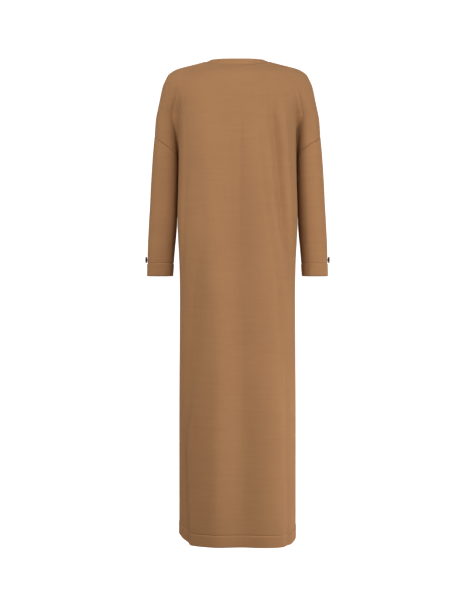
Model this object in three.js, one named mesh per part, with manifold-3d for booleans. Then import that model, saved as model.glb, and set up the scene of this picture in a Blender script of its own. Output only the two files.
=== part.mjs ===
import * as THREE from 'three';
import { mergeVertices } from 'three/addons/utils/BufferGeometryUtils.js';
import Module from 'manifold-3d';

// A long knitted dress with drop shoulders and straight sleeves, filled out as if worn.
// Sizes are in millimetres. +X is the wearer's right, +Y the wearer's front and +Z up.
// The origin lies between the shoulders, level with the side neck points.

const wasm = await Module();
wasm.setup();

// Cloth and seams
const WALL = 2;
const HEM_WALL = 3.2;
const HEM_PROUD = 0.6;
const STITCH_SINK = 0.5;
const STITCH_WALL = 1.6;
const SEAM_GAP = 0.3;
const UNDERARM_GAP = 1.2;
const UNDERARM_RISE = 1.25;

// Heights of the seams and edges
const NECK_BACK_Z = -20;
const NECK_FRONT_Z = -80;
const NECK_BACK_ROUND = 1.05;
const NECK_FRONT_ROUND = 1.35;
const ARMHOLE_TOP_Z = -206;
const UNDERARM_Z = -280;
const NUB_END_Z = -305;
const CUFF_STITCH_Z = -562;
const CUFF_Z = -598;
const HEM_STITCH_Z = -1300;
const HEM_Z = -1333;
const HEM_RISE_START = -1225;

// The deep fold between body and sleeve, and where the shoulder cap divides into the two
const VALLEY_X = 164.5;
const VALLEY_TURN = 2.5;
const CAP_SPLIT_SHARE = 0.776;
const CAP_END_Z = -70;
const SPLIT_START_Z = -160;
const ARM_POWER = 2.4;
const ARM_DEPTH_LIMIT = 0.9;
const CAP_POWER_TOP = 2;
const CAP_POWER_LOW = 2.4;
const CAP_POWER_Z = -85;
const ARMHOLE_BEND = 1.6;
const TORSO_MAIN_SHARE = 0.97;
const ARM_TURN_SHARE = 0.07;
const TURN_DEPTH_LIMIT = 0.9;

// Grid sizes
const TORSO_COLUMNS = 12;
const ARM_COLUMNS = 7;
const VALLEY_COLUMN = TORSO_COLUMNS + 1;
const OUTER_COLUMN = TORSO_COLUMNS + 2 + ARM_COLUMNS;
const YOKE_ROWS = 13;
const NECK_ROWS = 4;
const SKIRT_ROWS = 13;
const SLEEVE_ROWS = 8;

// Neck band
const BAND_WIDTH = 22;
const BAND_THICK = 3.6;
const BAND_START = 3;
const BAND_LEAN_BACK = 18;
const BAND_LEAN_SIDE = 66;
const BAND_LEAN_FRONT = 35;
const BAND_STEP = 2;
const BAND_ROLL_STEPS = 4;

// Cuff buttons
const BUTTON_RADIUS = 8.8;
const BUTTON_THICK = 4.2;
const BUTTON_DISH = 0.8;
const BUTTON_RIM = 1.6;
const BUTTON_EDGE = 0.9;
const BUTTON_SIDES = 24;
const BUTTON_STAND_OFF = 1.8;
const BUTTON_SHANK_RADIUS = 2.4;
const BUTTON_Z = -552;
const HOLE_RADIUS = 0.85;
const HOLE_SPACING = 1.8;
const HOLE_FLOOR = 0.6;

// Half the width over both sleeves, at each height
const OUTLINE = [
  { z: 0, half: 88 },
  { z: -6, half: 111 },
  { z: -12.5, half: 136 },
  { z: -18, half: 158 },
  { z: -23, half: 174 },
  { z: -30, half: 186 },
  { z: -38, half: 195 },
  { z: -49, half: 200.5 },
  { z: -66, half: 208 },
  { z: -83, half: 212.5 },
  { z: -105, half: 217 },
  { z: -133, half: 223 },
  { z: -161, half: 228.5 },
  { z: -206, half: 232 },
  { z: -259, half: 237 },
  { z: -340, half: 242.5 },
  { z: -413, half: 246.5 },
  { z: -508, half: 252 },
  { z: -598, half: 254.3 },
];

// The arm: how far it keeps clear of the body, the middle of its depth and half its depth
const ARM = [
  { z: -70, clear: 3.6, middle: 0, reach: 42 },
  { z: -206, clear: 3.2, middle: 4, reach: 48 },
  { z: -280, clear: 1.4, middle: 6, reach: 50 },
  { z: -305, clear: 0.8, middle: 7, reach: 50 },
  { z: -424, clear: 0.8, middle: 11, reach: 48 },
  { z: -450, clear: 2, middle: 12, reach: 47 },
  { z: -475, clear: 5, middle: 14, reach: 46 },
  { z: -550, clear: 16, middle: 19, reach: 40 },
  { z: -598, clear: 21, middle: 22, reach: 34 },
];

// The body: half its width, and how far the back and front lie from the side seams
const TORSO = [
  { z: 0, half: 162.6, back: 52, front: 40, power: 3.7 },
  { z: -20, half: 162.6, back: 66, front: 43, power: 3.7 },
  { z: -40, half: 162.6, back: 86, front: 48, power: 3.7 },
  { z: -60, half: 162.6, back: 97, front: 54, power: 3.7 },
  { z: -85, half: 162.6, back: 104, front: 62, power: 3.7 },
  { z: -120, half: 162.6, back: 108, front: 80, power: 3.7 },
  { z: -160, half: 162.6, back: 110, front: 96, power: 3.7 },
  { z: -200, half: 162.8, back: 111, front: 106, power: 3.7 },
  { z: -250, half: 163.1, back: 111.5, front: 112, power: 3.65 },
  { z: -290, half: 163.6, back: 111.5, front: 114, power: 3.6 },
  { z: -350, half: 165, back: 111.5, front: 113, power: 3.5 },
  { z: -420, half: 167, back: 111, front: 111, power: 3.4 },
  { z: -450, half: 167.2, back: 111, front: 110, power: 3.35 },
  { z: -500, half: 165.2, back: 111, front: 109, power: 3.3 },
  { z: -560, half: 162.2, back: 111, front: 109, power: 3.2 },
  { z: -640, half: 160.6, back: 111, front: 109, power: 3.1 },
  { z: -1000, half: 162.5, back: 112, front: 111, power: 2.8 },
  { z: -1333, half: 162.5, back: 114, front: 112, power: 2.7 },
];

// How the hem rises towards each side seam, by share of the section from the middle
const HEM_RISES = [
  { side: -1, hand: 1, start: 0.6, end: 1, rise: 11 },
  { side: -1, hand: -1, start: 0.58, end: 0.8, rise: 20 },
  { side: 1, hand: 1, start: 0.6, end: 1, rise: 11 },
  { side: 1, hand: -1, start: 0.55, end: 1, rise: 20 },
];

// How far the floor of the fold beside the body lies from the side seams
const VALLEY = [
  { z: -70, floor: 60 },
  { z: -100, floor: 45 },
  { z: -130, floor: 30 },
  { z: -160, floor: 18 },
  { z: -170, floor: 12 },
  { z: -200, floor: 8 },
  { z: -270, floor: 5 },
  { z: -280, floor: 0.15 },
];

// Hanging folds of the body: a path of x by height, the spread towards -X and towards +X and
// the rise. A negative rise is a trough.
const BODY_FOLDS = [
  { side: -1, low: 52, high: 18, rise: 11,
    z: [-170, -395, -530, -665, -935, -1333], x: [40, 62, 80, 96, 108, 114] },
  { side: -1, low: 10, high: 9, rise: -9,
    z: [-126, -260, -395, -490, -557], x: [92, 106, 121, 134, 146] },
  { side: -1, low: 9, high: 9, rise: 3.5, z: [-560, -665, -880, -1333], x: [122, 134, 140, 142] },
  { side: -1, low: 20, high: 20, rise: -6, z: [-150, -560, -935, -1333], x: [-8, -2, 10, 16] },
  { side: -1, low: 18, high: 16, rise: 5, z: [-207, -665, -935, -1333], x: [-82, -58, -52, -56] },
  { side: -1, low: 8, high: 9, rise: -4, z: [-234, -395, -530, -638], x: [-138, -142, -146, -152] },
  { side: -1, low: 10, high: 10, rise: -6, z: [-602, -800, -935, -1043], x: [-114, -124, -136, -150] },
  { side: -1, low: 9, high: 9, rise: -9, z: [-1040, -1333], x: [-150, -141] },
  { side: 1, low: 34, high: 30, rise: 8, z: [-330, -700, -1333], x: [66, 84, 98] },
  { side: 1, low: 30, high: 34, rise: 7, z: [-330, -760, -1333], x: [-62, -78, -102] },
  { side: 1, low: 20, high: 20, rise: -6, z: [-360, -800, -1333], x: [8, 14, 6] },
  { side: 1, low: 12, high: 12, rise: -7, z: [-300, -520, -700], x: [116, 130, 146] },
  { side: 1, low: 12, high: 12, rise: -7, z: [-620, -850, -1100], x: [-118, -130, -146] },
];
const FOLD_FADE = 110;
const FOLD_EASE_SHARE = 0.9;
const FOLD_AT_SEAM = 0.25;

// Soft creases across the sleeves: a height on the outer side and one on the inner side
const SLEEVE_CREASES = [
  { side: -1, outer: -392, inner: -430, spread: 16, rise: -1.6 },
  { side: 1, outer: -356, inner: -402, spread: 14, rise: -2.2 },
  { side: 1, outer: -405, inner: -440, spread: 13, rise: -2.4 },
  { side: -1, outer: -470, inner: -500, spread: 15, rise: -1.3 },
];

// Numbers and tables
const mix = (a, b, share) => a + (b - a) * share;

function smooth(from, to, value) {
  const share = Math.min(1, Math.max(0, (value - from) / (to - from)));
  return share * share * (3 - 2 * share);
}

// A smooth function of height through one column of a table, without overshoot
function column(table, name) {
  const count = table.length;
  const step = [];
  const slope = [];
  for (let i = 0; i < count - 1; i += 1) {
    step.push(table[i + 1].z - table[i].z);
    slope.push((table[i + 1][name] - table[i][name]) / step[i]);
  }
  const tangent = [slope[0]];
  for (let i = 1; i < count - 1; i += 1) {
    const rising = slope[i - 1] * slope[i] > 0;
    const blend = 2 * slope[i - 1] * slope[i] / (slope[i - 1] + slope[i]);
    tangent.push(rising ? blend : 0);
  }
  tangent.push(slope[count - 2]);
  return (z) => {
    if (z >= table[0].z) return table[0][name];
    if (z <= table[count - 1].z) return table[count - 1][name];
    let i = 0;
    while (z < table[i + 1].z) i += 1;
    const t = (z - table[i].z) / step[i];
    const start = table[i][name] * (1 + 2 * t) * (1 - t) ** 2 + tangent[i] * step[i] * t * (1 - t) ** 2;
    const end = table[i + 1][name] * t * t * (3 - 2 * t) - tangent[i + 1] * step[i] * t * t * (1 - t);
    return start + end;
  };
}

const outline = column(OUTLINE, 'half');
const armClear = column(ARM, 'clear');
const armMiddle = column(ARM, 'middle');
const armReach = column(ARM, 'reach');
const torsoHalf = column(TORSO, 'half');
const torsoBack = column(TORSO, 'back');
const torsoFront = column(TORSO, 'front');
const torsoPower = column(TORSO, 'power');
const valleyFloor = column(VALLEY, 'floor');
const armInner = (z) => torsoHalf(z) + armClear(z);
for (const fold of BODY_FOLDS) fold.centre = column(fold.z.map((z, i) => ({ z, x: fold.x[i] })), 'x');

const torsoDepth = (side, z) => (side < 0 ? torsoBack(z) : torsoFront(z));

// Plane curves are lists of [x, depth]. Depth is measured from the side seams' plane,
// towards the back on the back panel and towards the front on the front panel.
const CURVE_STEPS = 40;

function arcLengths(points) {
  const lengths = [0];
  for (let i = 1; i < points.length; i += 1) {
    const step = Math.hypot(points[i][0] - points[i - 1][0], points[i][1] - points[i - 1][1]);
    lengths.push(lengths[i - 1] + step);
  }
  return lengths;
}

function along(points, share) {
  const lengths = arcLengths(points);
  const target = share * lengths[lengths.length - 1];
  let i = 1;
  while (i < points.length - 1 && lengths[i] < target) i += 1;
  const part = (target - lengths[i - 1]) / (lengths[i] - lengths[i - 1]);
  return [mix(points[i - 1][0], points[i][0], part), mix(points[i - 1][1], points[i][1], part)];
}

function sampled(from, to, pointAt) {
  const points = [];
  for (let i = 0; i <= CURVE_STEPS; i += 1) points.push(pointAt(mix(from, to, i / CURVE_STEPS)));
  return points;
}

// A quarter of a superellipse, from the middle line outwards, between two depths
function quarter(half, depth, power, fromDepth, toDepth) {
  const angleAt = (d) => Math.acos(Math.min(1, Math.max(0, d / depth)) ** (power / 2));
  return sampled(angleAt(fromDepth), angleAt(toDepth), (angle) => [
    half * Math.abs(Math.sin(angle)) ** (2 / power),
    depth * Math.abs(Math.cos(angle)) ** (2 / power),
  ]);
}

const mixPoint = (a, b, share) => [mix(a[0], b[0], share), mix(a[1], b[1], share)];

// One point of the body's section: share 0 at the middle, 1 at the valley or side seam
function torsoPoint(side, z, share) {
  const half = torsoHalf(z);
  const depth = torsoDepth(side, z);
  const power = torsoPower(z);
  const inTurn = share > TORSO_MAIN_SHARE;
  const local = inTurn ? (share - TORSO_MAIN_SHARE) / (1 - TORSO_MAIN_SHARE) : share / TORSO_MAIN_SHARE;
  const nub = 1 - smooth(NUB_END_Z, UNDERARM_Z, z);
  const floor = valleyFloor(z);
  const turnDepth = Math.min(floor + VALLEY_TURN, TURN_DEPTH_LIMIT * depth);
  let divided = [0, 0];
  let plain = [0, 0];
  if (nub < 1) {
    const main = quarter(half, depth, power, depth, turnDepth);
    const corner = main[main.length - 1];
    const turn = sampled(0, Math.PI / 2, (angle) => [
      VALLEY_X - (VALLEY_X - corner[0]) * Math.cos(angle),
      turnDepth - (turnDepth - floor) * Math.sin(angle),
    ]);
    divided = along(inTurn ? turn : main, local);
  }
  if (nub > 0) {
    plain = along(inTurn ? quarter(half, depth, power, VALLEY_TURN, SEAM_GAP / 2)
      : quarter(half, depth, power, depth, VALLEY_TURN), local);
  }
  return mixPoint(divided, plain, nub);
}

// One point of the arm's section: share 0 at the valley or inner side, 1 on the outer side
function armPoint(side, z, share) {
  const inner = armInner(z);
  const outer = outline(z);
  const middleDepth = side * armMiddle(z);
  const reach = armReach(z);
  const radius = (outer - inner) / 2;
  const inTurn = share < ARM_TURN_SHARE;
  const local = inTurn ? share / ARM_TURN_SHARE : (share - ARM_TURN_SHARE) / (1 - ARM_TURN_SHARE);
  const rounded = (value) => Math.sign(value) * Math.abs(value) ** (2 / ARM_POWER);
  const angleAt = (d) => {
    const level = Math.min(ARM_DEPTH_LIMIT, Math.max(-ARM_DEPTH_LIMIT, (d - middleDepth) / reach));
    return Math.asin(Math.sign(level) * Math.abs(level) ** (ARM_POWER / 2));
  };
  const ellipse = (from, to) => sampled(from, to, (angle) => [
    inner + radius * (1 - rounded(Math.cos(angle))),
    middleDepth + reach * rounded(Math.sin(angle)),
  ]);
  const nub = 1 - smooth(NUB_END_Z, UNDERARM_Z, z);
  const floor = valleyFloor(z);
  let divided = [0, 0];
  let plain = [0, 0];
  if (nub < 1) {
    const main = ellipse(angleAt(floor + VALLEY_TURN), Math.PI);
    const corner = main[0];
    const turn = sampled(0, Math.PI / 2, (angle) => [
      VALLEY_X + (corner[0] - VALLEY_X) * Math.sin(angle),
      corner[1] - (corner[1] - floor) * Math.cos(angle),
    ]);
    divided = along(inTurn ? turn : main, local);
  }
  if (nub > 0) {
    plain = along(inTurn ? ellipse(angleAt(0), angleAt(VALLEY_TURN))
      : ellipse(angleAt(VALLEY_TURN), Math.PI), local);
  }
  return mixPoint(divided, plain, nub);
}

// The shoulder line from the neck to the top of the armhole, and its height by share of length
const RIDGE_STEPS = 240;
const ridge = [];
for (let i = 0; i <= RIDGE_STEPS; i += 1) {
  const z = ARMHOLE_TOP_Z * (i / RIDGE_STEPS) ** 2;
  ridge.push([outline(z), z]);
}
const ridgeHeight = (share) => along(ridge, share)[1];

// The armhole seam's height, by share of the arm's section
const armholeDrop = (share) => (ARMHOLE_TOP_Z - UNDERARM_Z) * (1 - share) ** ARMHOLE_BEND;
const armholeHeight = (share) => ARMHOLE_TOP_Z - armholeDrop(share);

// The shares of the body's and the arm's sections that belong to a column
const torsoShare = (col) => (col <= TORSO_COLUMNS ? TORSO_MAIN_SHARE * col / TORSO_COLUMNS
  : mix(TORSO_MAIN_SHARE, 1, col - TORSO_COLUMNS));

function armShare(col) {
  const past = col - VALLEY_COLUMN;
  return past <= 1 ? ARM_TURN_SHARE * past : mix(ARM_TURN_SHARE, 1, (past - 1) / ARM_COLUMNS);
}

// A point of the shoulder cap, where body and sleeve are one smooth section
function capPoint(side, z, neckX, neckWeight, col) {
  const half = outline(z);
  const depth = torsoDepth(side, z);
  const power = mix(CAP_POWER_TOP, CAP_POWER_LOW, smooth(0, CAP_POWER_Z, z));
  const curve = quarter(half, depth, power, depth, 0);
  const lengths = arcLengths(curve);
  const total = lengths[lengths.length - 1];
  const splitX = Math.min(VALLEY_X, CAP_SPLIT_SHARE * half);
  let i = 1;
  while (curve[i][0] < splitX) i += 1;
  const past = (splitX - curve[i - 1][0]) / (curve[i][0] - curve[i - 1][0]);
  const split = mix(lengths[i - 1], lengths[i], past);
  const marks = [0, split - VALLEY_TURN, split, split + VALLEY_TURN, total];
  const limits = [0, TORSO_COLUMNS, VALLEY_COLUMN, VALLEY_COLUMN + 1, OUTER_COLUMN];
  let zone = 0;
  while (col > limits[zone + 1]) zone += 1;
  const part = (col - limits[zone]) / (limits[zone + 1] - limits[zone]);
  const zonePoint = along(curve, mix(marks[zone], marks[zone + 1], part) / total);
  if (neckWeight === 0) return zonePoint;
  const x = mix(zonePoint[0], neckX, neckWeight);
  return [x, depth * Math.max(0, 1 - (x / half) ** power) ** (1 / power)];
}

// The heights of the rows below the underarm
const skirtLevels = [UNDERARM_Z, NUB_END_Z];
for (let i = 1; i <= SKIRT_ROWS; i += 1) {
  skirtLevels.push(mix(NUB_END_Z, HEM_STITCH_Z + 2 * BAND_START, i / SKIRT_ROWS));
}
skirtLevels.push(HEM_STITCH_Z, HEM_STITCH_Z - BAND_START, HEM_Z);
const LAST_ROW = YOKE_ROWS + skirtLevels.length - 1;
const WAIST_ROW = YOKE_ROWS + 3;

function skirtLevel(row) {
  const past = Math.min(row - YOKE_ROWS, skirtLevels.length - 1);
  const i = Math.min(Math.floor(past), skirtLevels.length - 2);
  return mix(skirtLevels[i], skirtLevels[i + 1], past - i);
}

// How far the end of the skirt is drawn up at a share of the section
function hemRise(side, hand, share, level) {
  const end = HEM_RISES.find((row) => row.side === side && row.hand === hand);
  return end.rise * smooth(end.start, end.end, share) * smooth(HEM_RISE_START, HEM_STITCH_Z, level);
}

// A point of one half of a panel, as [x, depth, z], for a column and a row
function panelBase(side, hand, col, row) {
  if (row > YOKE_ROWS) {
    const share = torsoShare(col);
    const level = skirtLevel(row);
    const z = level + hemRise(side, hand, share, level);
    return [...torsoPoint(side, z, share), z];
  }
  const down = row / YOKE_ROWS;
  const ridgeZ = ridgeHeight(down);
  const drop = ridgeZ / ARMHOLE_TOP_Z;
  const neckZ = side < 0 ? NECK_BACK_Z : NECK_FRONT_Z;
  const middleZ = mix(neckZ, UNDERARM_Z, down);
  const onBody = col <= VALLEY_COLUMN;
  const valleyZ = ridgeZ - drop * armholeDrop(0);
  const zoneZ = onBody ? mix(middleZ, valleyZ, torsoShare(col) ** 2)
    : ridgeZ - drop * armholeDrop(armShare(col));
  const angle = col / OUTER_COLUMN * Math.PI / 2;
  const nearNeck = 1 - smooth(0, NECK_ROWS, row);
  const round = side < 0 ? NECK_BACK_ROUND : NECK_FRONT_ROUND;
  const ringZ = ridgeZ + (middleZ - ridgeZ) * Math.max(0, Math.cos(angle)) ** round;
  const z = mix(zoneZ, ringZ, nearNeck);
  const divide = smooth(CAP_END_Z, SPLIT_START_Z, z);
  const cap = divide < 1 ? capPoint(side, z, outline(ridgeZ) * Math.sin(angle), nearNeck, col) : [0, 0];
  let divided = [0, 0];
  if (divide > 0) divided = onBody ? torsoPoint(side, z, torsoShare(col)) : armPoint(side, z, armShare(col));
  const ridgeShift = (1 - divide) * side * armMiddle(z) * smooth(0, OUTER_COLUMN, col);
  const point = mixPoint(cap, divided, divide);
  return [point[0], point[1] + ridgeShift, z];
}

// The hanging folds: how far a point of the body is pushed out
function bodyFold(side, x, z) {
  const depth = torsoDepth(side, z);
  const curve = quarter(torsoHalf(z), depth, torsoPower(z), depth, 0);
  const lengths = arcLengths(curve);
  const girth = (at) => {
    let i = 1;
    while (i < curve.length - 1 && curve[i][0] < Math.abs(at)) i += 1;
    const part = Math.min(1, (Math.abs(at) - curve[i - 1][0]) / (curve[i][0] - curve[i - 1][0]));
    return Math.sign(at) * mix(lengths[i - 1], lengths[i], part);
  };
  const here = girth(x);
  let push = 0;
  for (const fold of BODY_FOLDS) {
    if (fold.side !== side) continue;
    const top = fold.z[0];
    const bottom = fold.z[fold.z.length - 1];
    const open = bottom <= HEM_Z ? 1 : smooth(bottom - FOLD_FADE, bottom + FOLD_FADE, z);
    const fade = open * (1 - smooth(top - FOLD_FADE, top + FOLD_FADE, z));
    const past = here - girth(fold.centre(z));
    const off = past / (past < 0 ? fold.low : fold.high);
    push += fold.rise * fade * Math.exp(-off * off / 2);
  }
  const offSeam = 1 - smooth(FOLD_EASE_SHARE, 1, Math.abs(here) / lengths[lengths.length - 1]);
  return push * mix(FOLD_AT_SEAM, 1, offSeam);
}

// The soft creases of a sleeve
function sleeveFold(side, z, share) {
  let push = 0;
  for (const crease of SLEEVE_CREASES) {
    if (crease.side !== side) continue;
    const off = (z - mix(crease.inner, crease.outer, share)) / crease.spread;
    push += crease.rise * Math.exp(-off * off / 2) * Math.sin(Math.PI * share);
  }
  return push;
}

const STEP = 0.02;

function toSpace(side, hand, [x, depth, z]) {
  return new THREE.Vector3(hand * x, side * depth, z);
}

// The outward direction at a point of a surface given by two numbers
function outward(side, hand, pointAt, a, b, highB) {
  const a0 = pointAt(a - STEP, b);
  const a1 = pointAt(a + STEP, b);
  const b0 = pointAt(a, Math.max(0, b - STEP));
  const b1 = pointAt(a, Math.min(highB, b + STEP));
  const across = toSpace(side, hand, a1).sub(toSpace(side, hand, a0));
  const down = toSpace(side, hand, b1).sub(toSpace(side, hand, b0));
  return across.cross(down).multiplyScalar(side * hand).normalize();
}

// Where the stitch line and the turned hem lie, for a height above the stitch line
function hemFinish(above) {
  if (above > 0) return { proud: 0, wall: WALL };
  if (above === 0) return { proud: -STITCH_SINK, wall: STITCH_WALL };
  return { proud: HEM_PROUD, wall: HEM_WALL };
}

function wallPoints(point, out, push, wall) {
  return {
    outer: point.clone().addScaledVector(out, push),
    inner: point.clone().addScaledVector(out, push - wall),
    out,
  };
}

// The direction out of the cloth at the armhole seam and the one along the arm
function armholeFrame(side, hand, share) {
  const z = armholeHeight(share);
  const at = (t, height) => [...armPoint(side, height, t), height];
  const low = Math.max(0, share - STEP);
  const high = Math.min(1, share + STEP);
  const across = toSpace(side, hand, at(high, z)).sub(toSpace(side, hand, at(low, z)));
  const down = toSpace(side, hand, at(share, z - 1)).sub(toSpace(side, hand, at(share, z + 1)));
  const out = across.cross(down).multiplyScalar(side * hand).normalize();
  if (share === 1) out.setY(0).normalize();
  const before = toSpace(side, hand, at(low, armholeHeight(low)));
  const after = toSpace(side, hand, at(high, armholeHeight(high)));
  const seam = after.sub(before).normalize();
  const downArm = seam.cross(out).multiplyScalar(-side * hand).normalize();
  return { out, downArm };
}

// Where four pieces meet under the arm, the cloth is cut level and drawn up a little
const UNDERARM_OUT = new THREE.Vector3(0, 0, -UNDERARM_RISE);

// Both faces of a panel at a column and row of its right or left half
function panelPoint(side, hand, col, row) {
  const base = panelBase(side, hand, col, row);
  const point = toSpace(side, hand, base);
  const z = base[2];
  const gap = new THREE.Vector3(0, side * SEAM_GAP / 2, 0);
  if (col === VALLEY_COLUMN && row === YOKE_ROWS) {
    point.setX(hand * (VALLEY_X - UNDERARM_GAP / 2));
    return wallPoints(point, UNDERARM_OUT.clone(), 0, WALL);
  }
  if (row === YOKE_ROWS && col > VALLEY_COLUMN) {
    const frame = armholeFrame(side, hand, armShare(col));
    point.addScaledVector(frame.downArm, -SEAM_GAP / 2);
    if (col === OUTER_COLUMN) point.add(gap);
    return wallPoints(point, frame.out, sleeveFold(side, z, armShare(col)), WALL);
  }
  const highRow = row < YOKE_ROWS && col > VALLEY_COLUMN ? YOKE_ROWS : LAST_ROW;
  const edge = row <= YOKE_ROWS ? OUTER_COLUMN : VALLEY_COLUMN;
  const at = (a, b) => panelBase(side, hand, Math.min(edge, Math.abs(a)), b);
  const out = outward(side, hand, (a, b) => {
    const spot = at(a, b);
    return a < 0 ? [-spot[0], spot[1], spot[2]] : spot;
  }, col, row, highRow);
  if (col === edge) {
    out.setY(0).normalize();
    if (row <= YOKE_ROWS) point.add(gap);
  }
  if (row === WAIST_ROW) out.setZ(0).normalize();
  const finish = hemFinish((row > YOKE_ROWS ? skirtLevel(row) : z) - HEM_STITCH_Z);
  const onBody = col <= TORSO_COLUMNS;
  const push = onBody ? bodyFold(side, hand * base[0], z) : 0;
  return wallPoints(point, out, push + finish.proud, finish.wall);
}

// A closed wall between an outer and an inner skin. Faces are quads of the outer skin,
// turned so that they face out, and the open edges are closed by strips.
function wall(points, quads) {
  const count = points.length;
  const positions = [];
  for (const point of points) positions.push(...point.outer.toArray());
  for (const point of points) positions.push(...point.inner.toArray());
  const faces = [];
  const edges = new Map();
  const spot = (i) => points[i].outer;
  for (const [a, b, c, d] of quads) {
    const shortAC = spot(a).distanceTo(spot(c)) <= spot(b).distanceTo(spot(d));
    const halves = shortAC ? [[a, b, c], [a, c, d]] : [[a, b, d], [b, c, d]];
    for (const [i, j, k] of halves) {
      faces.push(i, j, k, k + count, j + count, i + count);
      for (const [from, to] of [[i, j], [j, k], [k, i]]) edges.set(`${from},${to}`, [from, to]);
    }
  }
  for (const [from, to] of edges.values()) {
    if (edges.has(`${to},${from}`)) continue;
    const [fromInner, toInner] = [points[from].inner, points[to].inner];
    const shortOne = spot(to).distanceTo(fromInner) < spot(from).distanceTo(toInner);
    if (shortOne) faces.push(to, from, from + count, to, from + count, to + count);
    else faces.push(to, from, to + count, from, from + count, to + count);
  }
  const geometry = new THREE.BufferGeometry();
  geometry.setAttribute('position', new THREE.Float32BufferAttribute(positions, 3));
  geometry.setIndex(faces);
  return geometry;
}

// The part of a back or front panel between two rows. The bodice ends and the skirt starts
// at the waist, where they meet edge to edge.
function panel(side, firstRow, lastRow) {
  const index = new Map();
  const points = [];
  const pointIndex = (col, row) => {
    const key = `${col},${row}`;
    if (!index.has(key)) {
      const hand = col < 0 ? -1 : 1;
      index.set(key, points.length);
      const point = panelPoint(side, hand, Math.abs(col), row);
      const shift = row === WAIST_ROW ? (firstRow < row ? 1 : -1) * SEAM_GAP / 2 : 0;
      for (const face of [point.outer, point.inner]) face.z += shift;
      points.push(point);
    }
    return index.get(key);
  };
  const quads = [];
  for (let row = firstRow; row < lastRow; row += 1) {
    const edge = row < YOKE_ROWS ? OUTER_COLUMN : VALLEY_COLUMN;
    for (let col = -edge; col < edge; col += 1) {
      const corners = [pointIndex(col, row), pointIndex(col, row + 1),
        pointIndex(col + 1, row + 1), pointIndex(col + 1, row)];
      quads.push(side < 0 ? corners : corners.reverse());
    }
  }
  return wall(points, quads);
}

// The heights of a sleeve's rows, by share of the arm's section
function sleeveHeights(share) {
  const heights = [];
  const last = CUFF_STITCH_Z + 2 * BAND_START;
  for (let i = 0; i <= SLEEVE_ROWS; i += 1) {
    heights.push(mix(armholeHeight(share), last, (i / SLEEVE_ROWS)));
  }
  heights.push(CUFF_STITCH_Z, CUFF_STITCH_Z - BAND_START, CUFF_Z);
  return heights;
}

function sleevePoint(side, hand, share, row) {
  const z = sleeveHeights(share)[row];
  const base = [...armPoint(side, z, share), z];
  const point = toSpace(side, hand, base);
  const fold = sleeveFold(side, z, share);
  if (row === 0) {
    if (share === 0) {
      point.set(hand * (VALLEY_X + UNDERARM_GAP / 2), 0, z);
      return wallPoints(point, UNDERARM_OUT.clone(), 0, WALL);
    }
    const frame = armholeFrame(side, hand, share);
    point.addScaledVector(frame.downArm, SEAM_GAP / 2);
    return wallPoints(point, frame.out, fold, WALL);
  }
  const low = Math.max(0, share - STEP);
  const high = Math.min(1, share + STEP);
  const at = (t, height) => toSpace(side, hand, [...armPoint(side, height, t), height]);
  const out = at(high, z).sub(at(low, z)).cross(at(share, z - 1).sub(at(share, z + 1)));
  out.multiplyScalar(side * hand).normalize();
  if (share === 0 || share === 1) out.setY(0).normalize();
  if (share === 0) point.setY(0);
  const finish = hemFinish(z - CUFF_STITCH_Z);
  return wallPoints(point, out, fold + finish.proud, finish.wall);
}

// A sleeve: a tube from the armhole seam to the cuff, with its seam on the inner side
function sleeve(hand) {
  const stations = [];
  for (let i = 0; i <= ARM_COLUMNS + 1; i += 1) {
    stations.push({ side: -1, share: armShare(VALLEY_COLUMN + i) });
  }
  for (let i = ARM_COLUMNS; i > 0; i -= 1) stations.push({ side: 1, share: armShare(VALLEY_COLUMN + i) });
  const rows = sleeveHeights(0).length;
  const points = [];
  for (let row = 0; row < rows; row += 1) {
    for (const { side, share } of stations) points.push(sleevePoint(side, hand, share, row));
  }
  const quads = [];
  const around = stations.length;
  for (let row = 0; row < rows - 1; row += 1) {
    for (let i = 0; i < around; i += 1) {
      const next = (i + 1) % around;
      const corners = [row * around + i, (row + 1) * around + i,
        (row + 1) * around + next, row * around + next];
      quads.push(hand > 0 ? corners : corners.reverse());
    }
  }
  return wall(points, quads);
}

// The doubled neck band. Its lower edge follows the panels' neck edge, a seam gap above it.
function neckBand() {
  const stations = [];
  for (let col = -OUTER_COLUMN + BAND_STEP; col < OUTER_COLUMN; col += BAND_STEP) stations.push([-1, col]);
  stations.push([0, OUTER_COLUMN]);
  for (let col = OUTER_COLUMN - BAND_STEP; col > -OUTER_COLUMN; col -= BAND_STEP) stations.push([1, col]);
  stations.push([0, -OUTER_COLUMN]);
  const rings = stations.map(([side, col]) => bandSection(side, col));
  const size = rings[0].length;
  const positions = rings.flat().flatMap((point) => point.toArray());
  const faces = [];
  for (let i = 0; i < rings.length; i += 1) {
    const next = (i + 1) % rings.length;
    for (let k = 0; k < size; k += 1) {
      const up = (k + 1) % size;
      const a = i * size + k;
      const b = next * size + k;
      const c = next * size + up;
      const d = i * size + up;
      faces.push(a, b, c, a, c, d);
    }
  }
  const geometry = new THREE.BufferGeometry();
  geometry.setAttribute('position', new THREE.Float32BufferAttribute(positions, 3));
  geometry.setIndex(faces);
  return geometry;
}

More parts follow.
